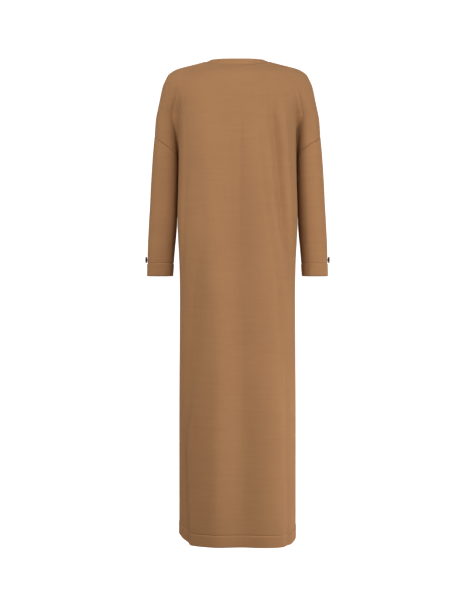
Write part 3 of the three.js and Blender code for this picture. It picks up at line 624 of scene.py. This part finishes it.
def half_columns():
    """The mesh's columns from the middle to the shoulder line, close together at the seams."""
    arm_unit = ARM_HALF_GIRTH / ARM_COLUMNS
    torso_main = np.linspace(0, TORSO_COLUMNS, TORSO_STEPS)
    arm_main = np.linspace(VALLEY_COLUMN + 1, OUTER_COLUMN, ARM_STEPS)[1:-1]
    arm_main = arm_main[arm_main < OUTER_COLUMN - SEAM_ZONE / arm_unit]
    near_ridge = OUTER_COLUMN - SEAM_STEPS[::-1] / arm_unit
    turns = [TORSO_COLUMNS + TURN_STEPS, VALLEY_COLUMN + 1 - TURN_STEPS[::-1][1:], [VALLEY_COLUMN + 1]]
    parts = [torso_main, *turns, arm_main, near_ridge, [OUTER_COLUMN]]
    return np.unique(np.round(np.concatenate(parts), 5))


def yoke_rows():
    """The mesh's rows from the neck to the armhole, close together at both."""
    unit = YOKE_LENGTH / YOKE_ROWS
    near_neck = SEAM_STEPS / unit
    body = np.linspace(0, YOKE_ROWS, YOKE_STEPS)[1:-1]
    body = body[(body > SEAM_ZONE / unit) & (body < YOKE_ROWS - SEAM_ZONE / unit)]
    near_armhole = YOKE_ROWS - SEAM_STEPS[::-1] / unit
    return np.concatenate([[0], near_neck, body, near_armhole, [YOKE_ROWS]])


def hem_levels(start, stitch, edge, count):
    """Heights from a start to a turned edge, close together at the stitch line and edge."""
    long_part = np.linspace(start, stitch + STITCH_ZONE_ABOVE, count)
    flat = np.linspace(stitch - STITCH_ZONE_BELOW, edge + EDGE_ZONE, 5)
    return np.concatenate([long_part, stitch + STITCH_STEPS, flat, edge + EDGE_STEPS])


def panel_piece(name, side):
    """A front or back in one length, and the edge that its neck gives the band."""
    half = half_columns()
    cols = np.concatenate([-half[:0:-1], half])
    rows = yoke_rows()
    c, r = np.meshgrid(np.abs(cols), rows)
    x, depth, z = yoke_point(side, c.ravel(), r.ravel())
    x = x.reshape(c.shape) * np.sign(cols)
    yoke = np.stack([x, side * depth.reshape(c.shape), z.reshape(c.shape)], axis=2)

    # The skirt hangs from the body's columns
    on_body = np.abs(cols) <= VALLEY_COLUMN
    body_cols = cols[on_body]
    levels = hem_levels(UNDERARM_Z, HEM_STITCH_Z, HEM_Z, SKIRT_STEPS)[1:]
    share = torso_share(np.abs(body_cols))
    rise = np.zeros_like(share)
    for end in HEM_RISES:
        if end["side"] == side:
            here = end["rise"] * smooth(end["start"], end["end"], share)
            rise = np.where(np.sign(body_cols) == end["hand"], here, rise)
    part = smooth(HEM_RISE_START, HEM_STITCH_Z, levels)[:, None]
    skirt_z = levels[:, None] + rise * part
    s = np.broadcast_to(share, skirt_z.shape)
    x, depth = torso_point(side, skirt_z.ravel(), s.ravel())
    x = x.reshape(s.shape) * np.sign(body_cols)
    skirt = np.stack([x, side * depth.reshape(s.shape), skirt_z], axis=2)

    # Normals, with the yoke and the skirt read as one grid down the body
    turn = -side
    yoke_normals = turn * grid_normals(yoke)
    whole = turn * grid_normals(np.concatenate([yoke[:, on_body], skirt]))
    yoke_normals[:, on_body] = whole[:len(rows)]
    skirt_normals = whole[len(rows):]
    yoke_normals[:, [0, -1], 1] = 0
    skirt_normals[:, [0, -1], 1] = 0

    # Distances from the seams
    from_top = grid_distances(yoke, 0)
    from_armhole = from_top[-1] - from_top
    across = grid_distances(yoke, 1)
    from_ridge = np.minimum(across, across[:, -1:] - across)
    skirt_across = grid_distances(skirt, 1)
    from_side = np.minimum(skirt_across, skirt_across[:, -1:] - skirt_across)

    fold = body_fold(side, yoke[..., 0].ravel(), yoke[..., 2].ravel()).reshape(c.shape)
    yoke_push = np.where(np.abs(c) <= TORSO_COLUMNS, fold, 0)
    yoke_push = yoke_push + edge_dip(from_top, LINKED_DIP, LINKED_SPREAD) + edge_dip(from_ridge)
    armhole_dip = edge_dip(from_armhole, LINKED_DIP, LINKED_SPREAD)
    yoke_push += np.where(np.abs(cols) > VALLEY_COLUMN, armhole_dip, 0)
    skirt_push = body_fold(side, skirt[..., 0].ravel(), skirt[..., 2].ravel()).reshape(s.shape)
    above_edge = np.broadcast_to(levels[:, None] - HEM_Z, skirt_z.shape)
    hem_push, hem_wall = hem_profile(above_edge + HEM_Z - HEM_STITCH_Z, above_edge)
    skirt_push = skirt_push + edge_dip(from_side) + hem_push

    # Seam gaps
    yoke[:, [0, -1], 1] += side * SEAM_GAP / 2
    on_arm = np.abs(cols) > VALLEY_COLUMN
    last = yoke[-1, on_arm] - yoke[-2, on_arm]
    yoke[-1, on_arm] -= last / np.linalg.norm(last, axis=1, keepdims=True) * LINKED_GAP / 2
    at_underarm = np.abs(cols) == VALLEY_COLUMN
    yoke[-1, at_underarm, 0] -= np.sign(cols[at_underarm]) * UNDERARM_GAP / 2
    points = np.concatenate([yoke.reshape(-1, 3), skirt.reshape(-1, 3)])
    normals = np.concatenate([yoke_normals.reshape(-1, 3), skirt_normals.reshape(-1, 3)])
    normals /= np.linalg.norm(normals, axis=1, keepdims=True)
    push = np.concatenate([yoke_push.ravel(), skirt_push.ravel()])
    thick = np.concatenate([np.full(yoke_push.size, WALL), hem_wall.ravel()])
    outer = points + normals * push[:, None]
    inner = points + normals * (push - thick)[:, None]
    floor = np.minimum(side * points[:, 1], SEAM_GAP / 2)
    inner[:, 1] = side * np.maximum(side * inner[:, 1], floor)
    neck = {
        "outer": outer[:len(cols)],
        "inner": inner[:len(cols)],
        "up": yoke[0] - yoke[BAND_GRIP_ROWS],
    }

    # Knit coordinates: distance across from the middle, and distance down
    middle = len(cols) // 2
    level_x = across - across[:, middle:middle + 1]
    down = -yoke[-1, :, 2] - from_armhole
    body_middle = len(body_cols) // 2
    skirt_u = skirt_across - skirt_across[:, body_middle:body_middle + 1]
    uv = np.concatenate([
        np.stack([level_x, -down], axis=2).reshape(-1, 2),
        np.stack([skirt_u, skirt_z], axis=2).reshape(-1, 2),
    ])

    # Faces
    ids = np.arange(yoke_push.size).reshape(yoke_push.shape)
    skirt_ids = np.arange(skirt_push.size).reshape(skirt_push.shape) + yoke_push.size
    body_ids = np.concatenate([ids[-1:, on_body], skirt_ids])
    quads = np.concatenate([grid_quads(ids), grid_quads(body_ids)])
    if side > 0:
        quads = quads[:, ::-1]
    return wall_mesh(name, outer, inner, uv, quads), neck


def sleeve_piece(name, hand):
    """A tube from the armhole seam to the turned cuff, seamed on its inner side."""
    turn = ARM_TURN_SHARE * SLEEVE_TURN_STEPS
    shares = np.concatenate([turn, np.linspace(ARM_TURN_SHARE, 1, SLEEVE_ROUND_STEPS)])
    around = np.concatenate([shares, shares[-2:0:-1]])
    sides = np.concatenate([np.full(len(shares), BACK), np.full(len(shares) - 2, FRONT)])
    top = ARMHOLE_TOP_Z - armhole_drop(around)
    levels = hem_levels(0, CUFF_STITCH_Z, CUFF_Z, 1)[1:]
    start = levels[0] + CUFF_STEP
    lower = np.linspace(SLEEVE_FIRST_STEP, 1, SLEEVE_STEPS)
    steps = np.concatenate([[0], SEAM_STEPS / SLEEVE_LENGTH, lower])
    z = np.concatenate([mix(top, start, steps[:, None]), np.tile(levels[:, None], (1, len(around)))])
    x, depth = np.empty_like(z), np.empty_like(z)
    for side in (BACK, FRONT):
        mine = sides == side
        t = np.broadcast_to(around[mine], z[:, mine].shape)
        px, pd = arm_point(side, z[:, mine].ravel(), t.ravel())
        x[:, mine], depth[:, mine] = px.reshape(t.shape), pd.reshape(t.shape)
    points = np.stack([hand * x, sides * depth, z], axis=2)
    points[:, 0, 1] = 0
    wrapped = np.concatenate([points[:, -1:], points, points[:, :1]], axis=1)
    normals = hand * grid_normals(wrapped)[:, 1:-1]
    at_valley = (1 - smooth(0, VALLEY_TURN, depth)) * (around < ARM_TURN_SHARE)
    pinch = (at_valley * smooth(PINCH_LOW_Z, PINCH_HIGH_Z, z))[..., None]
    to_body = np.array([-hand, 0, 0])
    normals = normals * (1 - pinch) + to_body * pinch
    normals[:, 0, 1] = 0
    normals /= np.linalg.norm(normals, axis=2, keepdims=True)

    from_top = grid_distances(points, 0)
    across = grid_distances(wrapped[:, 1:], 1)
    from_seam = np.minimum(across[:, :-1], across[:, -1:] - across[:, :-1])
    push = np.where(sides < 0, sleeve_fold(BACK, z, around), sleeve_fold(FRONT, z, around))
    above_edge = z - CUFF_Z
    hem_push, thick = hem_profile(z - CUFF_STITCH_Z, above_edge)
    push = push + hem_push + edge_dip(from_top, LINKED_DIP, LINKED_SPREAD) + edge_dip(from_seam)

    first = points[1] - points[0]
    points[0] += first / np.linalg.norm(first, axis=1, keepdims=True) * LINKED_GAP / 2
    points[0, 0, 0] += hand * UNDERARM_GAP / 2
    outer = points + normals * push[..., None]
    inner = points + normals * (push - thick)[..., None]
    uv = np.stack([across[:, :-1], z], axis=2).reshape(-1, 2)
    ids = np.arange(z.size).reshape(z.shape)
    quads = grid_quads(np.concatenate([ids, ids[:, :1]], axis=1))
    if hand < 0:
        quads = quads[:, ::-1]
    return wall_mesh(name, outer.reshape(-1, 3), inner.reshape(-1, 3), uv, quads)


# Neck band. It leans inwards by so many degrees at the back, the sides and the front.
BAND_WIDTH = 22.0
BAND_THICK = 3.6
BAND_LEAN_BACK = 18.0
BAND_LEAN_SIDE = 66.0
BAND_LEAN_FRONT = 35.0
BAND_BEND = 6.0
BAND_GRIP_ROWS = 4
BAND_FOOT_STEPS = 6
BAND_FOOT_ANGLE = 0.5
BAND_FACE_STEPS = 9
BAND_FACE_MARGIN = 1.5
BAND_TOP_STEPS = 8


def band_piece(name, back_neck, front_neck):
    """The doubled band: a rounded strip that stands on the neck edge, a seam gap above it."""
    keys = ("outer", "inner", "up")
    ends = {key: (back_neck[key] + front_neck[key]) / 2 for key in keys}
    ring = {}
    for key in keys:
        right, left = ends[key][-1:].copy(), ends[key][:1].copy()
        right[:, 1] = 0
        left[:, 1] = 0
        ring[key] = np.concatenate([back_neck[key][1:-1], right, front_neck[key][-2:0:-1], left])
    middle = (ring["outer"] + ring["inner"]) / 2
    is_front = middle[:, 1] > 0
    half_x = outline(0.0)
    half_y = np.where(is_front, torso_front(NECK_FRONT_Z), torso_back(NECK_BACK_Z))
    level = np.zeros(len(middle))
    outwards = np.stack([middle[:, 0] / half_x ** 2, middle[:, 1] / half_y ** 2, level], axis=1)
    outwards /= np.linalg.norm(outwards, axis=1, keepdims=True)
    sideways = np.clip(np.abs(middle[:, 0]) / half_x, 0, 1) ** 2
    lean_from = np.where(is_front, BAND_LEAN_FRONT, BAND_LEAN_BACK)
    lean = np.radians(mix(lean_from, BAND_LEAN_SIDE, sideways))[:, None]
    up = np.array([0.0, 0.0, 1.0])
    rise = -outwards * np.sin(lean) + up * np.cos(lean)
    cloth_up = ring["up"] / np.linalg.norm(ring["up"], axis=1, keepdims=True)

    half = BAND_THICK / 2
    quarter = math.pi / 2
    foot_angles = np.linspace(0, quarter, BAND_FOOT_STEPS)
    top_angles = np.linspace(0, quarter, BAND_TOP_STEPS)
    foot = LINKED_GAP + half * (1 - np.cos(foot_angles))
    top = BAND_WIDTH - half * (1 - np.sin(top_angles))
    face_ends = foot[-1] + BAND_FACE_MARGIN, top[0] - BAND_FACE_MARGIN
    u = np.concatenate([foot, np.linspace(*face_ends, BAND_FACE_STEPS), top])
    sizes = np.ones_like(u) * half
    sizes[:len(foot)] = half * np.sin(np.linspace(BAND_FOOT_ANGLE, quarter, BAND_FOOT_STEPS))
    sizes[-len(top):] = half * np.cos(top_angles)
    bend = smooth(0, BAND_BEND, u)
    centre = middle + cloth_up * u[0]
    rows = []
    for i, place in enumerate(u):
        way = cloth_up * (1 - bend[i]) + rise * bend[i]
        way /= np.linalg.norm(way, axis=1, keepdims=True)
        if i:
            centre = centre + way * (place - u[i - 1])
        tangent = np.roll(centre, -1, axis=0) - np.roll(centre, 1, axis=0)
        face = np.cross(tangent, way)
        face /= np.linalg.norm(face, axis=1, keepdims=True)
        rows.append((centre, face * sizes[i]))
    outside = [c + f for c, f in rows]
    inside = [c - f for c, f in rows[::-1]][1:]
    loop = np.stack(outside + inside, axis=1)
    count, size = loop.shape[:2]
    ids = np.arange(count * size).reshape(count, size)
    closed = np.concatenate([ids, ids[:1]])
    quads = grid_quads(np.concatenate([closed, closed[:, :1]], axis=1))
    lengths = np.linalg.norm(np.roll(middle, -1, axis=0) - middle, axis=1)
    around = np.concatenate([[0], np.cumsum(lengths)[:-1]])
    rounds = np.concatenate([u, 2 * BAND_WIDTH - u[::-1][1:]])
    uv = np.stack(np.broadcast_arrays(around[:, None], rounds[None, :]), axis=2).reshape(-1, 2)
    return solid_mesh(name, loop.reshape(-1, 3), quads, uv)


# Cuff buttons
BUTTON_RADIUS = 8.8
BUTTON_THICK = 4.2
BUTTON_EDGE = 1.3
BUTTON_RIM = 1.0
BUTTON_CORE = 0.5
BUTTON_SEGMENTS = 72
DISH_DEPTH = 0.8
DISH_SLOPE = 2.2
DISH_FLOOR_RADIUS = 3.0
BUTTON_STAND_OFF = 1.8
BUTTON_Z = -552.0
HOLE_RADIUS = 0.85
HOLE_SPACING = 1.8
HOLE_SEGMENTS = 20
DRILL_MARGIN = 2.0

# Thread
STRAND_RADIUS = 0.24
STRAND_SIDES = 8
STRAND_STEPS = 15
STRAND_OFFSETS = (-0.34, 0.0, 0.34)
STRAND_LIFT = 0.42
STRAND_TUCK = 0.9
SHANK_RADIUS = 2.0
SHANK_WRAPS = 5
WRAP_STEPS = 16
SHANK_TOP_GAP = 0.1
OFF_AXIS = (0.31, 0.87, 0.38)


def lathed(name, profile, segments, hand, centre):
    """A turned piece whose axis points out along X, from pairs of radius and height."""
    points, faces = [], []
    for radius, height in profile:
        for i in range(segments):
            angle = 2 * math.pi * i / segments
            points.append((hand * height, hand * radius * math.cos(angle), radius * math.sin(angle)))
    size = len(profile)
    for k in range(size - 1):
        for i in range(segments):
            j = (i + 1) % segments
            a, b = k * segments, (k + 1) * segments
            faces.append((a + i, a + j, b + j, b + i))
    faces.append(tuple(range(segments))[::-1])
    faces.append(tuple((size - 1) * segments + i for i in range(segments)))
    return solid_mesh(name, np.array(points) + centre, faces)


def button_profile():
    """Half the button's section: flat back, rounded edge, rolled rim and dished middle."""
    edge = [(BUTTON_RADIUS - BUTTON_EDGE * (1 - math.sin(a)), BUTTON_EDGE * (1 - math.cos(a)))
            for a in np.linspace(0, math.pi / 2, 7)]
    rim_foot = BUTTON_THICK - BUTTON_RIM
    top = [(BUTTON_RADIUS - BUTTON_RIM * (1 - math.cos(a)), rim_foot + BUTTON_RIM * math.sin(a))
           for a in np.linspace(0.1, math.pi / 2, 7)]
    dish = [(BUTTON_RADIUS - BUTTON_EDGE - DISH_SLOPE * s, BUTTON_THICK - DISH_DEPTH * smooth(0, 1, s))
            for s in np.linspace(0, 1, 8)]
    floor = BUTTON_THICK - DISH_DEPTH
    middle = [(DISH_FLOOR_RADIUS, floor), (BUTTON_CORE, floor)]
    return [(BUTTON_CORE, 0), *edge, *top, *dish, *middle]


def cut_holes(piece, hand, centre):
    for y in (-HOLE_SPACING, HOLE_SPACING):
        for z in (-HOLE_SPACING, HOLE_SPACING):
            profile = [(HOLE_RADIUS, -DRILL_MARGIN), (HOLE_RADIUS, BUTTON_THICK + DRILL_MARGIN)]
            drill = lathed("drill", profile, HOLE_SEGMENTS, hand, centre + np.array([0, y, z]))
            cut = piece.modifiers.new("hole", "BOOLEAN")
            cut.operation = "DIFFERENCE"
            cut.solver = "EXACT"
            cut.object = drill
            bpy.context.view_layer.objects.active = piece
            bpy.ops.object.modifier_apply(modifier=cut.name)
            bpy.data.objects.remove(drill)


def thread_piece(name, hand, centre):
    """Sewing thread: two bars of three strands over the holes, and the shank under them."""
    points, faces = [], []
    sides = STRAND_SIDES

    def strand(path):
        start = len(points)
        for i, spot in enumerate(path):
            ahead = path[min(i + 1, len(path) - 1)] - path[max(i - 1, 0)]
            ahead = ahead / np.linalg.norm(ahead)
            first = np.cross(ahead, OFF_AXIS)
            first /= np.linalg.norm(first)
            second = np.cross(ahead, first)
            for k in range(sides):
                angle = 2 * math.pi * k / sides
                points.append(spot + STRAND_RADIUS * (math.cos(angle) * first + math.sin(angle) * second))
        rings = len(path)
        for i in range(rings - 1):
            for k in range(sides):
                j = (k + 1) % sides
                a, b = start + i * sides, start + (i + 1) * sides
                faces.append((a + k, a + j, b + j, b + k))
        faces.append([start + k for k in range(sides)][::-1])
        faces.append([start + (rings - 1) * sides + k for k in range(sides)])

    top = BUTTON_THICK - DISH_DEPTH
    for z in (-HOLE_SPACING, HOLE_SPACING):
        for offset in STRAND_OFFSETS:
            path = []
            for s in np.linspace(0, 1, STRAND_STEPS):
                y = mix(-HOLE_SPACING, HOLE_SPACING, s)
                arch = math.sin(math.pi * s)
                lift = STRAND_LIFT * arch ** 0.5 - STRAND_TUCK * (1 - arch) ** 6
                path.append(centre + np.array([hand * (top + lift), y, z + offset * arch]))
            strand(path)
    reach = SHANK_RADIUS - STRAND_RADIUS
    foot = -BUTTON_STAND_OFF + SEAM_GAP + STRAND_RADIUS
    coil = []
    for s in np.linspace(0, 1, SHANK_WRAPS * WRAP_STEPS + 1):
        angle = 2 * math.pi * SHANK_WRAPS * s
        x = hand * mix(foot, -SHANK_TOP_GAP, s)
        coil.append(centre + np.array([x, reach * math.cos(angle), reach * math.sin(angle)]))
    strand(coil)
    return solid_mesh(name, points, faces)


# Making the pieces
back, back_neck = panel_piece("back_panel", BACK)
front, front_neck = panel_piece("front_panel", FRONT)
sleeve_right = sleeve_piece("sleeve_right_cloth", 1)
sleeve_left = sleeve_piece("sleeve_left_cloth", -1)
band = band_piece("neck_band_cloth", back_neck, front_neck)

cloth_pieces = [
    (back, ["back_bodice", "back_skirt"]),
    (front, ["front_bodice", "front_skirt"]),
    (sleeve_right, ["sleeve_right"]),
    (sleeve_left, ["sleeve_left"]),
    (band, ["neck_band"]),
]
for piece, nodes in cloth_pieces:
    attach(piece, "root")
    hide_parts(*nodes)

buttons, threads = [], []
for node, hand in (("button_right", 1), ("button_left", -1)):
    place_x = hand * (float(outline(BUTTON_Z)) + BUTTON_STAND_OFF)
    place = np.array([place_x, float(arm_middle(BUTTON_Z)), BUTTON_Z])
    button = lathed(node + "_disc", button_profile(), BUTTON_SEGMENTS, hand, place)
    cut_holes(button, hand, place)
    thread = thread_piece(node + "_thread", hand, place)
    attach(button, "root")
    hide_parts(node)
    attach(thread, "root")
    buttons.append(button)
    threads.append(thread)


# Materials

class Nodes:
    """A short way to write a material's nodes."""

    def __init__(self, name):
        self.material = bpy.data.materials.new(name)
        self.material.use_nodes = True
        self.tree = self.material.node_tree
        self.shader = self.tree.nodes["Principled BSDF"]

    def add(self, kind, inputs=None, **settings):
        node = self.tree.nodes.new(kind)
        for key, value in settings.items():
            setattr(node, key, value)
        for key, value in (inputs or {}).items():
            if isinstance(value, bpy.types.NodeSocket):
                self.tree.links.new(value, node.inputs[key])
            else:
                node.inputs[key].default_value = value
        return node

    def math(self, operation, *values):
        inputs = dict(enumerate(values))
        return self.add("ShaderNodeMath", inputs, operation=operation).outputs[0]

    def link(self, output, socket):
        self.tree.links.new(output, self.shader.inputs[socket])


# The knit's stitches are this wide and this high, in metres
WALE = 0.0019
COURSE = 0.0014
LEG_SLANT = 1.3
# The yarn's colour, and a darker colour that is painted shade: the base colour darkens towards it between
# the stitch legs, where the knit's hollows lie in shadow
KNIT_COLOR = (0.368, 0.199, 0.095, 1)
KNIT_PAINTED_SHADE = (0.235, 0.113, 0.048, 1)
STREAK = 0.14
CLOUD = 0.12
FUZZ = 0.35


def knit_material():
    n = Nodes("camel_knit")
    uv = n.add("ShaderNodeUVMap", uv_map="knit").outputs["UV"]
    split = n.add("ShaderNodeSeparateXYZ", {0: uv})
    wale = n.math("DIVIDE", split.outputs[0], WALE)
    course = n.math("DIVIDE", split.outputs[1], COURSE)
    across = n.math("ABSOLUTE", n.math("SUBTRACT", n.math("FRACT", wale), 0.5))
    leg = n.math("SINE", n.math("MULTIPLY", across, 2 * math.pi))
    slanted = n.math("FRACT", n.math("ADD", course, n.math("MULTIPLY", across, LEG_SLANT)))
    along_leg = n.math("SINE", n.math("MULTIPLY", slanted, math.pi))
    stitch = n.math("MULTIPLY", n.math("POWER", leg, 0.7), n.math("POWER", along_leg, 0.6))
    coords = n.add("ShaderNodeTexCoord").outputs["Object"]
    fuzz = n.add("ShaderNodeTexNoise", {"Vector": coords, "Scale": 900.0, "Detail": 3.0}).outputs[0]
    cloud = n.add("ShaderNodeTexNoise", {"Vector": coords, "Scale": 7.0, "Detail": 2.0}).outputs[0]
    flat = n.add("ShaderNodeMapping", {"Vector": coords, "Scale": (14.0, 14.0, 170.0)}).outputs[0]
    streak = n.add("ShaderNodeTexNoise", {"Vector": flat, "Scale": 1.0, "Detail": 3.0}).outputs[0]
    height = n.math("ADD", stitch, n.math("MULTIPLY", fuzz, FUZZ))
    bump = n.add("ShaderNodeBump", {"Height": height, "Distance": 0.0004, "Strength": 0.7})
    # Painted shade: the base colour darkens between the stitch legs, following the same stitch height
    # that drives the bump
    painted_stitch_shade = n.add("ShaderNodeMix", {"Factor": stitch}, data_type="RGBA")
    painted_stitch_shade.inputs[6].default_value = KNIT_PAINTED_SHADE
    painted_stitch_shade.inputs[7].default_value = KNIT_COLOR
    drift = n.math("ADD", n.math("MULTIPLY", cloud, CLOUD), n.math("MULTIPLY", streak, STREAK))
    tone = n.math("ADD", 1 - (CLOUD + STREAK) / 2, drift)
    tint = n.add("ShaderNodeMix", {"Factor": 1.0}, data_type="RGBA", blend_type="MULTIPLY")
    n.tree.links.new(painted_stitch_shade.outputs[2], tint.inputs[6])
    n.tree.links.new(tone, tint.inputs[7])
    n.link(tint.outputs[2], "Base Color")
    n.link(bump.outputs[0], "Normal")
    n.shader.inputs["Roughness"].default_value = 0.9
    n.shader.inputs["Specular IOR Level"].default_value = 0.1
    n.shader.inputs["Sheen Weight"].default_value = 0.12
    n.shader.inputs["Sheen Roughness"].default_value = 0.5
    n.shader.inputs["Sheen Tint"].default_value = (0.85, 0.6, 0.4, 1)
    return n.material


def grained_material(name, scale, detail, dark, light, roughness, specular):
    """Two colours mixed by a noise. Dark and light are a colour and a place on the ramp."""
    n = Nodes(name)
    coords = n.add("ShaderNodeTexCoord").outputs["Object"]
    grain = n.add("ShaderNodeTexNoise", {"Vector": coords, "Scale": scale, "Detail": detail}).outputs[0]
    ramp = n.add("ShaderNodeValToRGB", {"Fac": grain})
    for element, (color, place) in zip(ramp.color_ramp.elements, (dark, light)):
        element.color = (*color, 1)
        element.position = place
    n.link(ramp.outputs[0], "Base Color")
    n.shader.inputs["Roughness"].default_value = roughness
    n.shader.inputs["Specular IOR Level"].default_value = specular
    return n.material


knit = knit_material()
for piece, nodes in cloth_pieces:
    piece.data.materials.append(knit)
horn = grained_material("dark_horn", 160.0, 4.0, ((0.011, 0.006, 0.004), 0.35),
                        ((0.055, 0.026, 0.014), 0.7), roughness=0.5, specular=0.2)
for piece in buttons:
    piece.data.materials.clear()
    piece.data.materials.append(horn)
strands = grained_material("brown_thread", 2500.0, 2.0, ((0.06, 0.032, 0.016), 0),
                           ((0.16, 0.085, 0.04), 1), roughness=0.7, specular=0.5)
for piece in threads:
    piece.data.materials.append(strands)


# Floor, light and camera

# In metres, watts and degrees
FLOOR_Z = -3.9
WALL_Y = 6.2
WALL_TOP_Z = 7.0
ROOM_REACH = 9.0
FLOOR_GLOW = 0.05
BACKDROP_GLOW = 0.95
PAPER_COLOR = (0.85, 0.85, 0.85, 1)
SKY_COLOR = (1, 0.8, 0.6, 1)
AMBIENT = 0.21
EYE_Z = -0.665
EYE_DISTANCE = 3.0
SENSOR = 36.0
FRAME_HEIGHT_M = 1.68
LIGHTS = [
    {"name": "key", "place": (0.6, -1.95, 0.1), "target": (0, 0, -0.3),
     "size": 0.9, "power": 12},
    {"name": "fill", "place": (-1.15, -1.8, 0.1), "target": (0, 0, -0.3),
     "size": 1.2, "power": 34},
    {"name": "top", "place": (0.0, -0.35, 1.6), "target": (0, 0, 0),
     "size": 0.9, "power": 12},
    {"name": "rim", "place": (1.75, -0.8, -0.55), "target": (0, 0, -0.5),
     "size": 0.4, "power": 23},
    {"name": "side", "place": (1.6, -0.6, -1.15), "target": (0.1, 0, -1.15),
     "size": 0.5, "power": 0.8, "spread": 48},
]


def area_light(name, place, target, size, power, spread=180):
    light = bpy.data.lights.new(name, "AREA")
    light.shape = "DISK"
    light.size = size
    light.energy = power
    light.spread = math.radians(spread)
    lamp = bpy.data.objects.new(name, light)
    lamp.location = place
    way = np.array(target, float) - np.array(place, float)
    flat = math.hypot(way[0], way[1])
    lamp.rotation_euler = (math.pi / 2 + math.atan2(way[2], flat), 0, math.atan2(-way[0], way[1]))
    bpy.context.collection.objects.link(lamp)


def plain_sheet(name, corners, glow):
    mesh = bpy.data.meshes.new(name)
    mesh.from_pydata(corners, [], [(0, 1, 2, 3)])
    sheet = bpy.data.objects.new(name, mesh)
    bpy.context.collection.objects.link(sheet)
    paint = bpy.data.materials.new(name + "_paint")
    paint.use_nodes = True
    shader = paint.node_tree.nodes["Principled BSDF"]
    shader.inputs["Base Color"].default_value = PAPER_COLOR
    shader.inputs["Roughness"].default_value = 1.0
    shader.inputs["Specular IOR Level"].default_value = 0.0
    shader.inputs["Emission Color"].default_value = (1, 1, 1, 1)
    shader.inputs["Emission Strength"].default_value = glow
    sheet.data.materials.append(paint)


def studio():
    r, far, low, high = ROOM_REACH, WALL_Y, FLOOR_Z, WALL_TOP_Z
    floor = [(-r, -r, low), (r, -r, low), (r, far, low), (-r, far, low)]
    backdrop = [(-r, far, low), (r, far, low), (r, far, high), (-r, far, high)]
    plain_sheet("floor", floor, FLOOR_GLOW)
    plain_sheet("backdrop", backdrop, BACKDROP_GLOW)
    world = bpy.data.worlds.new("studio")
    world.use_nodes = True
    bpy.context.scene.world = world
    sky = world.node_tree.nodes["Background"]
    sky.inputs["Color"].default_value = SKY_COLOR
    sky.inputs["Strength"].default_value = AMBIENT
    for light in LIGHTS:
        area_light(**light)


def photo_camera():
    camera = bpy.data.cameras.new("camera")
    camera.sensor_fit = "VERTICAL"
    camera.sensor_height = SENSOR
    camera.lens = SENSOR * EYE_DISTANCE / FRAME_HEIGHT_M
    holder = bpy.data.objects.new("camera", camera)
    holder.location = (0, -EYE_DISTANCE, EYE_Z)
    holder.rotation_euler = (math.pi / 2, 0, 0)
    bpy.context.collection.objects.link(holder)
    bpy.context.scene.camera = holder


studio()
photo_camera()
bpy.context.scene.view_settings.view_transform = "Standard"
